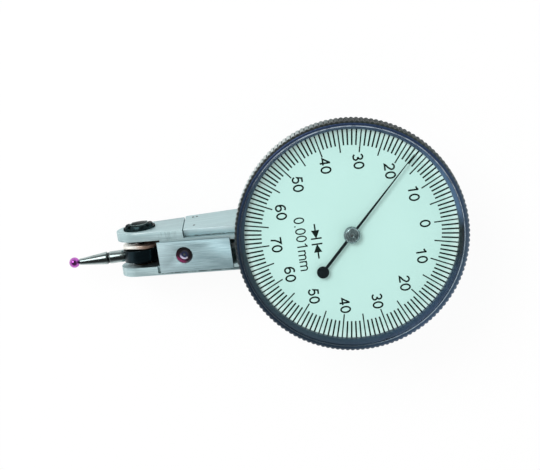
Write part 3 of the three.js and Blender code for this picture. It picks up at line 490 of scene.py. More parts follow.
jewel_light_lean = (jewel_x * -0.6 - jewel_y * 0.8) * (1 / MM)
jewel_reach = jewel_stone.reach(jewel_x, jewel_y)
# Painted light and shade: dark over most of the stone, a lit crescent on the side towards the
# stylus.
jewel_stone.paint(jewel_stone.ramp(
    jewel_light_lean * 0.35 + 0.5, (0.4, tone(0x0C070B)), (0.76, tone(0x260A1C)),
    (0.95, tone(0x84305A))))
# A painted glint in the oil sink, on the same side.
sink_glint = jewel_stone.ramp(
    jewel_light_lean * 0.6 + 0.5, (0.5, tone(0x131222)), (0.72, tone(0x4C4A66)),
    (0.84, tone(0xB9B4CC)))
jewel_stone.patch(jewel_reach < SINK_RADIUS * MM, sink_glint)
jewel_stone.patch(jewel_reach < ARBOR_RADIUS * MM, tone(0x1C2547))
dressed("plate_jewel", turned_mesh("plate_jewel", jewel_profile, 64, place=jewel_place),
        jewel_stone, "body", "ruby", "front_jewel", crease=35)


# Pivot nut
# The lever's upper bearing is closed by a blackened ring nut: a flange, a crown with four
# spanner notches and a raised face with a worn turned line. A plain plug closes the lower one.
PIVOT = (-36.8, -0.6, 6.9)
TURNED_LINE_INNER = 1.3
TURNED_LINE_OUTER = 1.68
nut_black = blackened("blackened_nut", 0x34484B, 0x162123, 0.2)
nut_black.vary("Metallic", 0.9)
nut_black.vary("Specular Tint", grey(0.3))
nut_x, nut_y, nut_z = nut_black.parts()
nut_reach = nut_black.reach(nut_x - PIVOT[0] * MM, nut_z - PIVOT[2] * MM)
nut_wear = nut_black.noise((1.6, 1.6, 1.6), 3.0, 0.7)
turned_line = within(nut_reach, TURNED_LINE_INNER, TURNED_LINE_OUTER) * (nut_y > 0.0)
line_cover = nut_black.ramp(nut_wear, (0.4, grey(0.2)), (0.52, grey(0.9)))
nut_black.patch(turned_line * line_cover, tone(0x9DB2B0))
softened("pivot_ring_nut", "pivot_nut", nut_black, "body", "dark_steel", 0.07)
softened("lower_pivot_plug", "lower_pivot_screw", nut_black, "body", "dark_steel", 0.05)


# Washers on the lever
# A thin black clamp washer, and under it a copper-bronze wave washer that presses the holder
# down, so that it can be turned by hand and then stays. A painted highlight makes the bronze
# paler, near white, at its open end.
washer_bronze = Finish("copper_bronze", {"Metallic": 0.55})
heat = washer_bronze.noise((0.5, 1.4, 0.5), 3.0, 0.6)
scuffs = washer_bronze.noise((1.0, 12.0, 1.0), 3.0, 0.6)
# Painted highlight towards the open end; the heat noise is the bronze's own mottling.
washer_highlight_lean = (washer_bronze.parts()[0] * (1 / MM) + 40.0) * 0.17
washer_bronze.paint(washer_bronze.ramp(
    washer_highlight_lean + heat * 0.9 - 0.45, (0.3, tone(0xFFFCF4)), (0.48, tone(0xDCC6B8)),
    (0.66, tone(0xA08878)), (0.85, tone(0x8A7064))))
washer_bronze.vary("Roughness", 0.2 + scuffs * 0.2)
washer_bronze.relief(scuffs, 0.003)
softened("wave_washer", "friction_washer", washer_bronze, "lever", "washer_bronze", 0.06)
lever_black = blackened("blackened_lever", 0x2A3336, 0x101416, 0.2)
softened("clamp_ring", "clamp_washer", lever_black, "lever", "dark_steel", 0.06)
softened("lever_body", "inner_lever", lever_black, "lever", "dark_steel", 0.04)


# Lever holder
# A black polished steel drum that turns on the lever between the ears. The stylus screws
# into its front.
drum_black = Finish("polished_black_drum", {"Metallic": 0.9, "Specular IOR Level": 0.5})
drum_cloud = drum_black.noise((0.6, 3.0, 0.6), 3.0, 0.6)
drum_black.paint(drum_black.between(drum_cloud, tone(0x132026), tone(0x22343A)))
drum_black.vary("Roughness", 0.12 + drum_cloud * 0.14)
softened("holder_drum", "lever_holder", drum_black, "stylus_assembly", "dark_steel", 0.1, 3)


# Stylus
# A turned and polished steel shank: a collar that screws into the holder, a groove darkened by
# painted shade, and a long cone down to the neck. Painted reflections lay dark bands along it,
# by the way its surface faces. Its lengths run from the pivot.
COLLAR_START = 3.4
COLLAR_END = 5.86
COLLAR_RADIUS = 1.08
GROOVE_START = 6.16
GROOVE_END = 6.4
GROOVE_RADIUS = 0.95
CONE_START = 6.56
CONE_END = 11.0
CONE_RADIUS = 1.12
NECK_RADIUS = 0.57
SHANK_END = 11.44

shank_profile = [
    (0.0, COLLAR_START), (COLLAR_RADIUS, COLLAR_START), (COLLAR_RADIUS, COLLAR_END),
    (1.03, 6.0), (0.97, 6.08), (GROOVE_RADIUS, GROOVE_START), (GROOVE_RADIUS, GROOVE_END),
    (0.98, 6.44), (1.06, 6.45), (1.11, 6.49), (CONE_RADIUS, CONE_START), (1.1, 6.75),
    (0.59, CONE_END), (NECK_RADIUS, 11.15), (NECK_RADIUS, 11.4), (0.53, SHANK_END),
    (0.0, SHANK_END)]
shank_place = Matrix.Translation(Vector(PIVOT) * MM) @ Matrix.Rotation(
    math.radians(-90), 4, "Y")
stylus_steel = plain_metal(
    "polished_stylus_steel", 0xB8C6C6, 0x82928F, 0.1, (0.4, 4.0, 4.0))
# Painted reflection: dark bands where the shank faces certain ways.
stylus_side = stylus_steel.facing()[1]
stylus_reflection_bands = stylus_steel.ramp(
    stylus_side * 0.5 + 0.5, (0.18, grey(0.0)), (0.25, grey(0.8)), (0.5, grey(0.75)),
    (0.58, grey(0.0)), (0.76, grey(0.0)), (0.82, grey(0.75)), (0.87, grey(0.75)),
    (0.93, grey(0.0)))
# Painted shade in the groove.
groove_shade = within(
    stylus_steel.parts()[0], PIVOT[0] - GROOVE_END - 0.06, PIVOT[0] - GROOVE_START + 0.12)
stylus_steel.patch(stylus_reflection_bands, tone(0x30393B))
stylus_steel.patch(groove_shade * 0.85, tone(0x12191B))
dressed("stylus_shank", turned_mesh("stylus_shank", shank_profile, place=shank_place),
        stylus_steel, "stylus_assembly", "polished_steel", "stylus", crease=50)


# Contact ball
# A polished ruby ball, cemented to the stylus's neck. It is the one piece that touches the
# work.
BALL_RADIUS = 0.95
BALL_RINGS = 32
ball_ruby = Finish("contact_ruby", {
    "Metallic": 1.0, "Roughness": 0.08, "Coat Weight": 1.0, "Coat Roughness": 0.03,
    "Coat IOR": 1.77})
ball_depth = ball_ruby.noise((0.8, 0.8, 0.8), 2.0)
ball_ruby.paint(ball_ruby.ramp(ball_depth, (0.35, tone(0xA02CA8)), (0.7, tone(0xC44AC8))))
ball_low, ball_high = (Vector(corner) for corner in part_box("stylus_ball"))
ball_place = Matrix.Translation((ball_low + ball_high) / 2)
ball_profile = [
    (BALL_RADIUS * math.sin(a), -BALL_RADIUS * math.cos(a))
    for a in (math.pi * k / BALL_RINGS for k in range(BALL_RINGS + 1))]
dressed("contact_ball", turned_mesh("contact_ball", ball_profile, 64, place=ball_place),
        ball_ruby, "stylus_assembly", "ruby", "stylus_ball")


# Dial
# A stamped aluminium disc with a matte mint coat. It is painted lighter near its rim, painted
# light against the bezel's shadow. It lies inside the bezel and turns with it.
DIAL_Z = 18.4
mint = Finish("mint_dial_coat", {"Metallic": 0.0, "Specular IOR Level": 0.25})
dial_cloud = mint.noise((0.08, 0.08, 0.08), 2.0)
dial_tooth = mint.noise((9.0, 9.0, 9.0), 2.0)
dial_x, dial_y = mint.parts()[:2]
# The stops are thousandths of the radius squared: 0.28 is at 16.7 mm and 0.325 at 18 mm.
rim_painted_light = mint.ramp(
    (dial_x * dial_x + dial_y * dial_y) * (1e-3 / MM ** 2), (0.28, grey(0.0)),
    (0.325, grey(1.0)))
mint.paint(mint.between(dial_cloud, tone(0xB8DAD4), tone(0xC2E1DD)))
# Painted light near the rim.
mint.patch(rim_painted_light, tone(0xDAF3EF))
mint.vary("Roughness", 0.5 + dial_tooth * 0.15)
mint.relief(dial_tooth, 0.002)
refinished("dial_plate", mint)


# Scale
# 140 printed lines, every fifth one longer, in a near-black green ink that stands a hair
# proud of the coat. They run out under the bezel's lip.
TICKS = 140
TICKS_PER_LONG = 5
TICK_OUTER = 18.29
TICK_INNER = 15.4
LONG_TICK_INNER = 14.2
TICK_WIDTH = 0.27
LONG_TICK_WIDTH = 0.22
INK_HEIGHT = 0.012
ink = Finish("dial_ink", {"Metallic": 0.0, "Specular IOR Level": 0.1})
ink_cover = ink.noise((3.0, 3.0, 3.0), 3.0, 0.6)
ink.paint(ink.between(ink_cover, tone(0x0A1613), tone(0x16241F)))
ink.vary("Roughness", 0.5 + ink_cover * 0.2)


def stroke(points, width, closed=False):
    """A line of constant width: a (left, right) pair for each point, with mitred corners."""
    points = [Vector(p) for p in points]
    count = len(points)
    strip = []
    for i, point in enumerate(points):
        before = points[i - 1] if closed or i else point
        after = points[(i + 1) % count] if closed or i < count - 1 else point
        one = (point - before).normalized() if before != point else (after - point).normalized()
        two = (after - point).normalized() if after != point else one
        middle = (one + two).normalized()
        half = width / 2 / max(0.4, middle.dot(one))
        side = Vector((-middle.y, middle.x)) * half
        strip.append((point + side, point - side))
    return strip, closed


def printed(name, strips):
    """Raised ink on the dial, from the strips that stroke makes, in millimetres."""
    shape = bmesh.new()
    foot, top = DIAL_Z * MM, (DIAL_Z + INK_HEIGHT) * MM
    for strip, closed in strips:
        rows = [[
            shape.verts.new((side[0] * MM, side[1] * MM, z))
            for side, z in ((left, foot), (left, top), (right, top), (right, foot))]
            for left, right in strip]
        if not closed:
            shape.faces.new(rows[0])
            shape.faces.new(rows[-1])
        joined(shape, rows, closed)
    bmesh.ops.recalc_face_normals(shape, faces=shape.faces)
    mesh = as_mesh(name, shape)
    dressed(name, mesh, ink, "bezel_assembly", "needle_black")
    mesh.polygons.foreach_set("use_smooth", [False] * len(mesh.polygons))


marks = []
for k in range(TICKS):
    is_long = k % TICKS_PER_LONG == 0
    inner = LONG_TICK_INNER if is_long else TICK_INNER
    around = Matrix.Rotation(math.tau * k / TICKS, 2)
    ends = [around @ Vector((reach, 0)) for reach in (inner, TICK_OUTER)]
    marks.append(stroke(ends, LONG_TICK_WIDTH if is_long else TICK_WIDTH))
printed("scale_lines", marks)


# Numerals
# Tens from 0 to 70 both ways, all upright towards the zero, and the value of one division.
# They are drawn as plain strokes of one width, in boxes one unit high.
NUMERAL_RING = 12.65
LAST_NUMERAL_SHIFT = 0.3
NUMERAL_HEIGHT = 1.82
NUMERAL_STROKE = 0.29
NUMERAL_SPREAD = 1.26
FULL_SCALE = 70
VALUE_PLACE = (-8.6, -0.55)
VALUE_HEIGHT = 1.85
VALUE_STROKE = 0.225
VALUE_SPREAD = 1.12


def arc(x, y, wide, high, start, stop, steps=14):
    """Points on an ellipse from one angle to the other, in degrees."""
    turns = [math.radians(start + (stop - start) * i / steps) for i in range(steps + 1)]
    return [(x + wide * math.cos(a), y + high * math.sin(a)) for a in turns]


# Each sign has its width and its strokes, and each stroke says whether it closes on itself.
GLYPHS = {
    "0": (0.62, [(arc(0.31, 0.5, 0.22, 0.44, 0, 345, 23), True)]),
    "1": (0.62, [([(0.36, 0.0), (0.36, 0.97)], False),
                 ([(0.38, 0.95), (0.27, 0.83), (0.13, 0.75)], False)]),
    "2": (0.62, [(arc(0.31, 0.7, 0.2, 0.24, 170, -30, 12)
                  + [(0.34, 0.36), (0.14, 0.17), (0.08, 0.06), (0.54, 0.06)], False)]),
    "3": (0.62, [(arc(0.3, 0.72, 0.18, 0.22, 160, -90, 12)
                  + arc(0.3, 0.28, 0.21, 0.22, 90, -160), False)]),
    "4": (0.62, [([(0.41, 0.0), (0.41, 0.97)], False),
                 ([(0.41, 0.95), (0.07, 0.29), (0.56, 0.29)], False)]),
    "5": (0.62, [([(0.5, 0.94), (0.2, 0.94), (0.13, 0.52)]
                  + arc(0.3, 0.34, 0.21, 0.28, 130, -160, 16), False)]),
    "6": (0.62, [(arc(0.31, 0.31, 0.21, 0.25, 90, 450, 24)[:-1], True),
                 (arc(0.36, 0.48, 0.26, 0.46, 60, 190, 12), False)]),
    "7": (0.62, [([(0.08, 0.94), (0.55, 0.94), (0.4, 0.7), (0.29, 0.42), (0.24, 0.0)],
                  False)]),
    ".": (0.3, [([(0.15, 0.0), (0.15, 0.12)], False)]),
    "m": (0.92, [([(0.1, 0.0), (0.1, 0.7)], False),
                 (arc(0.28, 0.48, 0.18, 0.18, 180, 0, 8) + [(0.46, 0.0)], False),
                 (arc(0.64, 0.48, 0.18, 0.18, 180, 0, 8) + [(0.82, 0.0)], False)]),
}


def lettered(text, centre, height, width, spread):
    """The strokes of a word, centred on its place and upright towards +X."""
    strokes = []
    pen = -sum(GLYPHS[letter][0] for letter in text) / 2
    for letter in text:
        step, paths = GLYPHS[letter]
        for path, closed in paths:
            points = [
                (centre[0] + (y - 0.5) * height, centre[1] - (pen + x) * height * spread)
                for x, y in path]
            strokes.append(stroke(points, width, closed))
        pen += step
    return strokes


marks = []
for value in range(0, FULL_SCALE + 10, 10):
    ring = NUMERAL_RING + (LAST_NUMERAL_SHIFT if value == FULL_SCALE else 0)
    for side in (1,) if value % FULL_SCALE == 0 else (1, -1):
        angle = side * math.pi * value / FULL_SCALE
        place = (ring * math.cos(angle), ring * math.sin(angle))
        marks += lettered(str(value), place, NUMERAL_HEIGHT, NUMERAL_STROKE, NUMERAL_SPREAD)
printed("numerals", marks)
printed("division_value", lettered(
    "0.001mm", VALUE_PLACE, VALUE_HEIGHT, VALUE_STROKE, VALUE_SPREAD))


# Arrows
# The usual sign for a small division: two arrows that point at a pair of lines from both
# sides.
ARROW_X = -6.1
ARROW_Y = -0.4
LINE_GAP = 0.98
LINE_LENGTH = 1.85
ARROW_STROKE = 0.26
HEAD_LENGTH = 1.45
HEAD_WIDTH = 1.42
HEAD_TIP_WIDTH = 0.04
TAIL_END = 3.05
marks = []
for side in (1, -1):
    line_y = ARROW_Y + side * LINE_GAP / 2
    base_y = line_y + side * HEAD_LENGTH
    tail_y = ARROW_Y + side * TAIL_END
    half = LINE_LENGTH / 2
    marks.append(stroke([(ARROW_X - half, line_y), (ARROW_X + half, line_y)], ARROW_STROKE))
    marks.append(stroke([(ARROW_X, base_y), (ARROW_X, tail_y)], ARROW_STROKE))
    head = [((ARROW_X - width / 2, y), (ARROW_X + width / 2, y))
            for width, y in ((HEAD_TIP_WIDTH, line_y), (HEAD_WIDTH, base_y))]
    marks.append((head, False))
printed("division_arrows", marks)


# Bezel
# A turned steel ring with a straight knurl that runs out over the chamfer. Its slope and land
# are blackened blue, and the knurl is steel. Painted reflections make each lighter and darker
# round the ring, paint the knurl's crests bright over one sector and its valleys darker. The
# crystal lies in a seat inside the land.
TEETH = 144
STEPS_PER_TOOTH = 8
KNURL_DEPTH = 0.2
BEZEL_RADIUS = 20.0
BEZEL_BOTTOM = 16.6
BEZEL_TOP = 21.1
BORE_RADIUS = 18.9
RIM_RADIUS = 19.45
SEAT_RADIUS = 19.2
SEAT_DEPTH = 0.5
WINDOW_RADIUS = 18.3
SLOPE_TOP_RADIUS = 18.88
SLOPE_REACH = 19.0
LAND_SPLIT_RADIUS = 19.6
VALLEY_RADIUS = 19.88


def ring_finish(name, metallic, roughness, stops, inner=None, inner_radius=0.0):
    """A turned surface whose colour drifts round the ring as painted reflections, lighter and
    darker by sector.

    The stops run from -X (towards the stylus) through -Y, +X and +Y, back to -X. The inner
    ones colour what lies inside the inner radius: a rim's inner half, or the valleys.
    """
    ring = Finish(name, {"Metallic": metallic})
    x, y = ring.parts()[:2]
    angle = ring.node("ShaderNodeMath", {"operation": "ARCTAN2"}, {0: y, 1: x})
    wander = ring.noise((0.12, 0.12, 0.12), 3.0) * 0.06 - 0.03
    around = angle * (0.5 / math.pi) + 0.5 + wander
    turning = ring.noise((3.0, 3.0, 14.0), 3.0, 0.6)
    ring.paint(ring.ramp(around, *((share, tone(code)) for share, code in stops)))
    if inner is not None:
        inner_colour = ring.ramp(around, *((share, tone(code)) for share, code in inner))
        ring.patch(ring.reach(x, y) < inner_radius * MM, inner_colour)
    ring.vary("Roughness", roughness + turning * 0.14)
    ring.relief(turning, 0.002)
    return ring


# The colours round the ring are painted reflections, such as the slope's near-black patch.
slope_navy = ring_finish("bezel_slope", 0.25, 0.26, (
    (0.0, 0x1C2C3A), (0.14, 0x263644), (0.36, 0x2A3C56), (0.42, 0x22324A), (0.45, 0x131C25),
    (0.497, 0x10181F), (0.524, 0x4E6688), (0.58, 0x4A6284), (0.63, 0x283C5E),
    (0.73, 0x263A5C), (0.85, 0x2A3C5C), (1.0, 0x1E3044)))
land_black = ring_finish("bezel_land", 0.5, 0.28, (
    (0.0, 0x17252C), (0.2, 0x263848), (0.34, 0x465C74), (0.47, 0x4A5E70), (0.62, 0x26332F),
    (0.75, 0x121B19), (1.0, 0x10191A)), (
    (0.0, 0x1C2C3C), (0.2, 0x263848), (0.34, 0x465C74), (0.47, 0x4A5E70), (0.6, 0x304464),
    (0.85, 0x2A3C5C), (1.0, 0x1E3044)), LAND_SPLIT_RADIUS)
# Painted reflection: the crests are bright over one sector; painted shade keeps the valleys
# darker.
knurl_steel = ring_finish("bezel_knurl", 0.8, 0.3, (
    (0.0, 0x1C2A30), (0.15, 0x2A3C48), (0.28, 0x6A8094), (0.43, 0x8298AC), (0.5, 0x3E4E56),
    (0.745, 0x2A3534), (0.785, 0xA4B2B2), (0.83, 0xEAF4F2), (0.92, 0xE4F0EE),
    (0.97, 0x66757A), (1.0, 0x2A383E)), (
    (0.0, 0x10181C), (0.28, 0x3A4A5A), (0.5, 0x1C262C), (0.745, 0x10181A), (0.8, 0x4A5658),
    (0.9, 0x4A5658), (1.0, 0x141C20)), VALLEY_RADIUS)
knurl_steel.vary("Specular Tint", grey(0.4))


def knurl(radius, height, turn):
    """Draws a ring in between the crests. The depth runs out towards the chamfer's rim."""
    reach = max(0.0, min(1.0, (radius - RIM_RADIUS) / (BEZEL_RADIUS - RIM_RADIUS)))
    valley = 1 - abs(math.cos(math.pi * turn * TEETH))
    return radius - KNURL_DEPTH * valley * reach, height


bezel_profile = [
    (BORE_RADIUS, BEZEL_BOTTOM), (RIM_RADIUS, BEZEL_BOTTOM), (19.75, BEZEL_BOTTOM + 0.12),
    (BEZEL_RADIUS, BEZEL_BOTTOM + 0.45), (BEZEL_RADIUS, BEZEL_BOTTOM + 0.5),
    (BEZEL_RADIUS, BEZEL_TOP - 0.6), (BEZEL_RADIUS, BEZEL_TOP - 0.5),
    (19.86, BEZEL_TOP - 0.25), (19.62, BEZEL_TOP - 0.08), (RIM_RADIUS, BEZEL_TOP),
    (RIM_RADIUS - 0.05, BEZEL_TOP), (SEAT_RADIUS + 0.05, BEZEL_TOP),
    (SEAT_RADIUS, BEZEL_TOP - 0.05), (SEAT_RADIUS, BEZEL_TOP - SEAT_DEPTH),
    (18.95, BEZEL_TOP - SEAT_DEPTH), (SLOPE_TOP_RADIUS, BEZEL_TOP - SEAT_DEPTH - 0.04),
    (WINDOW_RADIUS + 0.02, 19.62), (WINDOW_RADIUS, 19.56), (WINDOW_RADIUS, DIAL_Z),
    (BORE_RADIUS, DIAL_Z), (BORE_RADIUS, BEZEL_BOTTOM)]
bezel_mesh = turned_mesh("knurled_bezel", bezel_profile, TEETH * STEPS_PER_TOOTH, knurl)
dressed("knurled_bezel", bezel_mesh, slope_navy, "bezel_assembly", "bezel_metal", "bezel",
        crease=35)
bezel_mesh.materials.append(land_black.material)
bezel_mesh.materials.append(knurl_steel.material)
for face in bezel_mesh.polygons:
    if math.hypot(face.center.x, face.center.y) > SLOPE_REACH * MM:
        is_land = face.center.z > (BEZEL_TOP - SEAT_DEPTH - 0.08) * MM
        face.material_index = 1 if is_land else 2


# Crystal
# A flat mineral glass with a ground edge, pressed into the bezel's seat. The ground edge is a
# pale, thin broken line, and a painted highlight lays most of it on the side away from the
# stylus.
GLASS_RADIUS = 19.15
GLASS_BOTTOM = 20.6
GLASS_TOP = 21.3
GROUND_FROM = 19.0
glass = Finish("crystal_glass")
glass_x, glass_y = glass.parts()[:2]
glass_light_lean = (glass_x * 0.87 + glass_y * 0.5) * (0.5 / GLASS_RADIUS / MM) + 0.5
ground_chips = glass.ramp(
    glass.noise((0.9, 0.9, 0.9), 2.0), (0.4, grey(0.5)), (0.58, grey(1.0)))
# Painted highlight: the ground edge is strongest on the side away from the stylus.
ground_highlight_share = glass.ramp(glass_light_lean, (0.25, grey(0.12)), (0.5, grey(1.0)))
on_ground = glass.reach(glass_x, glass_y) > GROUND_FROM * MM
ground_edge = on_ground * ground_chips * ground_highlight_share
from_inside = glass.node("ShaderNodeNewGeometry", output="Backfacing")
gloss = glass.node("ShaderNodeFresnel", {}, {"IOR": 1.5}) * (1 - from_inside)
smear = glass.noise((0.15, 0.15, 0.15), 2.0)
sheen = glass.node(
    "ShaderNodeBsdfGlossy", {}, {"Color": grey(1.0), "Roughness": 0.03 + smear * 0.05})
clear = glass.node("ShaderNodeBsdfTransparent", {}, {"Color": (0.985, 1.0, 0.995, 1.0)})
polished = glass.node("ShaderNodeMixShader", {}, {0: gloss * 0.3, 1: clear, 2: sheen})
ground = glass.node("ShaderNodeBsdfDiffuse", {}, {"Color": tone(0xB4C4D2)})
glass_surface = glass.node(
    "ShaderNodeMixShader", {}, {0: ground_edge * 0.62, 1: polished, 2: ground})
glass.feed(glass.tree.nodes["Material Output"].inputs["Surface"], glass_surface)
glass.tree.nodes.remove(glass.shader)
crystal_profile = [
    (0.0, GLASS_BOTTOM), (GLASS_RADIUS, GLASS_BOTTOM), (GLASS_RADIUS, GLASS_TOP - 0.22),
    (GLASS_RADIUS - 0.05, GLASS_TOP - 0.17), (18.7, GLASS_TOP - 0.02), (18.6, GLASS_TOP),
    (18.4, GLASS_TOP), (0.0, GLASS_TOP)]
crystal_mesh = turned_mesh("watch_glass", crystal_profile, 192)
dressed("watch_glass", crystal_mesh, glass, "bezel_assembly", "crystal_glass", "crystal",
        crease=12)


# Pointer
# A blanked steel hand, painted near-black: a long tapered needle, and a short tail that ends
# in a round balance disc. It is set at 45 degrees.
POINTER_Z = 19.2
POINTER_THICKNESS = 0.16
POINTER_ANGLE = math.radians(45)
HUB_HALF_LENGTH = 0.9
NEEDLE_REACH = 17.4
NEEDLE_ROOT_WIDTH = 0.44
NEEDLE_TIP_WIDTH = 0.1
TAIL_WIDTH = 0.5
DISC_RADIUS = 1.05
DISC_CENTRE = -8.15
DISC_POINTS = 48
pointer_paint = Finish("pointer_black", {"Metallic": 0.3, "Specular IOR Level": 0.4})
paint_cloud = pointer_paint.noise((1.5, 1.5, 1.5), 3.0)
pointer_paint.paint(pointer_paint.between(paint_cloud, tone(0x0D1519), tone(0x1A262A)))
pointer_paint.vary("Roughness", 0.3 + paint_cloud * 0.15)
opening = math.asin(TAIL_WIDTH / 2 / DISC_RADIUS)
disc_step = (math.tau - 2 * opening) / (DISC_POINTS - 1)
disc = [
    (DISC_CENTRE + DISC_RADIUS * math.cos(a), DISC_RADIUS * math.sin(a))
    for a in (opening + disc_step * k for k in range(DISC_POINTS))]
hand_outline = [
    (NEEDLE_REACH, NEEDLE_TIP_WIDTH / 2), (HUB_HALF_LENGTH, NEEDLE_ROOT_WIDTH / 2),
    (-HUB_HALF_LENGTH, TAIL_WIDTH / 2), *disc, (-HUB_HALF_LENGTH, -TAIL_WIDTH / 2),
    (HUB_HALF_LENGTH, -NEEDLE_ROOT_WIDTH / 2), (NEEDLE_REACH, -NEEDLE_TIP_WIDTH / 2)]
hand_shape = bmesh.new()
hand_sides = [
    [hand_shape.verts.new((x * MM, y * MM, z * MM)) for x, y in hand_outline]
    for z in (POINTER_Z, POINTER_Z + POINTER_THICKNESS)]
for side in hand_sides:
    hand_shape.faces.new(side)
joined(hand_shape, hand_sides)
hand_shape.transform(Matrix.Rotation(POINTER_ANGLE, 4, "Z"))
bmesh.ops.recalc_face_normals(hand_shape, faces=hand_shape.faces)
dressed("pointer_hand", as_mesh("pointer_hand", hand_shape), pointer_paint,
        "pointer_assembly", "needle_black", "pointer", crease=30)


# Pointer boss
# A turned and polished steel boss with a centre pop. It rivets the hand to the end of its
# arbor.
BOSS_RADIUS = 1.43
BOSS_BOTTOM = 19.37
BOSS_TOP = 19.86
POP_RADIUS = 0.24
boss_steel = plain_metal("polished_boss_steel", 0xA4B8BA, 0x5E7276, 0.16, (5.0, 1.2, 5.0))
boss_steel.vary("Metallic", 0.75)
boss_x, boss_y = boss_steel.parts()[:2]
# Painted shade darkens the centre pop.
boss_steel.patch(boss_steel.reach(boss_x, boss_y) < POP_RADIUS * MM, tone(0x1C2426))
boss_profile = [
    (0.0, BOSS_BOTTOM), (BOSS_RADIUS, BOSS_BOTTOM), (BOSS_RADIUS, 19.5), (1.38, 19.6),
    (1.18, 19.76), (1.04, 19.83), (0.9, BOSS_TOP), (0.34, BOSS_TOP),
    (0.26, BOSS_TOP - 0.04), (0.2, 19.66), (0.0, 19.58)]
dressed("pointer_boss", turned_mesh("pointer_boss", boss_profile, 64), boss_steel,
        "pointer_assembly", "polished_steel", "pointer_hub", crease=40)


# Floor
# A wide, pale, matte floor just under the indicator. It shows white to the camera and keeps
# the shadow.
FLOOR_HALF_WIDTH = 2000
FLOOR_DROP = 0.1
floor_finish = Finish("pale_floor", {"Roughness": 0.9, "Specular IOR Level": 0.1})
floor_cloud = floor_finish.noise((0.02, 0.02, 0.02), 2.0)
floor_finish.paint(floor_finish.between(floor_cloud, grey(0.84), grey(0.88)))
floor_light = floor_finish.node(
    "ShaderNodeEmission", {}, {"Color": grey(1.0), "Strength": 1.0})
floor_rays = floor_finish.node("ShaderNodeLightPath", output="Is Camera Ray")
floor_surface = floor_finish.node("ShaderNodeMixShader", {}, {
    0: floor_rays * 0.93, 1: Signal(floor_finish, floor_finish.shader.outputs[0]),
    2: floor_light})
floor_finish.feed(
    floor_finish.tree.nodes["Material Output"].inputs["Surface"], floor_surface)
floor_mesh = bpy.data.meshes.new("floor")
floor_mesh.from_pydata(
    [(x * FLOOR_HALF_WIDTH * MM, y * FLOOR_HALF_WIDTH * MM, 0)
     for x, y in ((-1, -1), (1, -1), (1, 1), (-1, 1))], [], [(0, 1, 2, 3)])
floor = bpy.data.objects.new("floor", floor_mesh)
floor.location.z = -FLOOR_DROP * MM
bpy.context.collection.objects.link(floor)
floor_mesh.materials.append(floor_finish.material)


# Tent and key lamp
# A soft white tent and one key lamp, whose sizes are in metres. What the metal mirrors is the
# tent: dark straight above, where the camera stands, bright lower down, and a bright window
# towards the upper left.
WINDOW_DIRECTION = (-0.44, 0.51, 0.74)
WINDOW_STRENGTH = 3.5
KEY_PLACE = Vector((-0.25, 0.35, 0.55))
KEY_AIM = Vector((-0.01, 0, 0.01))
KEY_SIZE = 0.35
KEY_WATTS = 3.0
world = bpy.data.worlds.new("white_tent")
world.use_nodes = True
bpy.context.scene.world = world
tent = Finish("white_tent", tree=world.node_tree)
direction = tent.node("ShaderNodeTexCoord", output="Generated")
sky = tent.ramp(
    tent.split(direction)[2], (0.0, grey(0.85)), (0.12, grey(1.0)), (0.4, grey(0.85)),
    (0.56, grey(0.36)), (0.72, grey(0.14)), (1.0, grey(0.1)))
toward_window = tent.node(
    "ShaderNodeVectorMath", {"operation": "DOT_PRODUCT"},
    {0: direction, 1: WINDOW_DIRECTION}, output=1)
window = tent.node("ShaderNodeVectorMath", {"operation": "SCALE"}, {
    0: tent.ramp(toward_window, (0.955, grey(0.0)), (0.975, grey(1.0))),
    "Scale": WINDOW_STRENGTH})
mirrored = tent.node(
    "ShaderNodeMix", {"data_type": "RGBA", "blend_type": "ADD"}, {0: 1.0, 6: sky, 7: window},
    output=2)
camera_rays = tent.node("ShaderNodeLightPath", output="Is Camera Ray")
glossy_rays = tent.node("ShaderNodeLightPath", output="Is Glossy Ray")
plain_light = tent.between(glossy_rays, grey(0.76), mirrored)
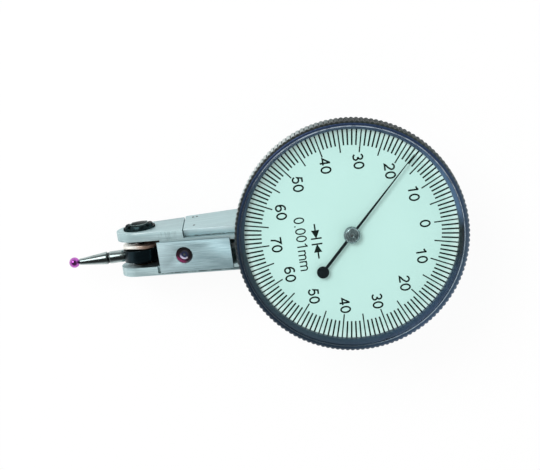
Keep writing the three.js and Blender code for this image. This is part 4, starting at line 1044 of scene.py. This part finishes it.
tent.feed(tent.tree.nodes["Background"].inputs["Color"],
          tent.between(camera_rays, plain_light, grey(1.0)))

key_light = bpy.data.lights.new("key_lamp", "AREA")
key_light.shape = "DISK"
key_light.size = KEY_SIZE
key_light.energy = KEY_WATTS
key_lamp = bpy.data.objects.new("key_lamp", key_light)
key_lamp.location = KEY_PLACE
key_lamp.rotation_euler = (KEY_AIM - KEY_PLACE).to_track_quat("-Z", "Y").to_euler()
key_lamp.visible_glossy = False
bpy.context.collection.objects.link(key_lamp)


# Camera
# A long lens almost square to the dial, leaning a little over the side rail. The dial's
# centre falls on its place in the photograph.
PHOTO_WIDTH = 540
PIXELS_PER_MM = 5.976
MODEL_PER_PHOTO = 1.02
DISTANCE = 300
DIAL_CENTRE = (351.2, 233.5)
IMAGE_CENTRE = (269.5, 234.5)
SENSOR_WIDTH = 36
CAMERA_YAW = 0.37
CAMERA_TILT = 12.5
CAMERA_ROLL = 8.36
turn = (Matrix.Rotation(math.radians(CAMERA_YAW), 3, "Y")
        @ Matrix.Rotation(math.radians(CAMERA_TILT), 3, "X")
        @ Matrix.Rotation(math.radians(CAMERA_ROLL), 3, "Z"))
offset = Vector((
    (DIAL_CENTRE[0] - IMAGE_CENTRE[0]) / PIXELS_PER_MM,
    (IMAGE_CENTRE[1] - DIAL_CENTRE[1]) / PIXELS_PER_MM,
    -DISTANCE)) * MODEL_PER_PHOTO * MM
camera_place = Vector((0, 0, DIAL_Z * MM)) - turn.transposed() @ offset
camera_data = bpy.data.cameras.new("camera")
camera_data.sensor_width = SENSOR_WIDTH
camera_data.lens = DISTANCE * PIXELS_PER_MM / PHOTO_WIDTH * SENSOR_WIDTH
camera_data.clip_start = 0.01
camera_data.clip_end = 10
camera = bpy.data.objects.new("camera", camera_data)
bpy.context.collection.objects.link(camera)
camera.matrix_world = Matrix.Translation(camera_place) @ turn.transposed().to_4x4()
bpy.context.scene.camera = camera
bpy.context.scene.view_settings.view_transform = "Standard"


# Update: the scene is brought up to date, with every piece in place.
bpy.context.view_layer.update()
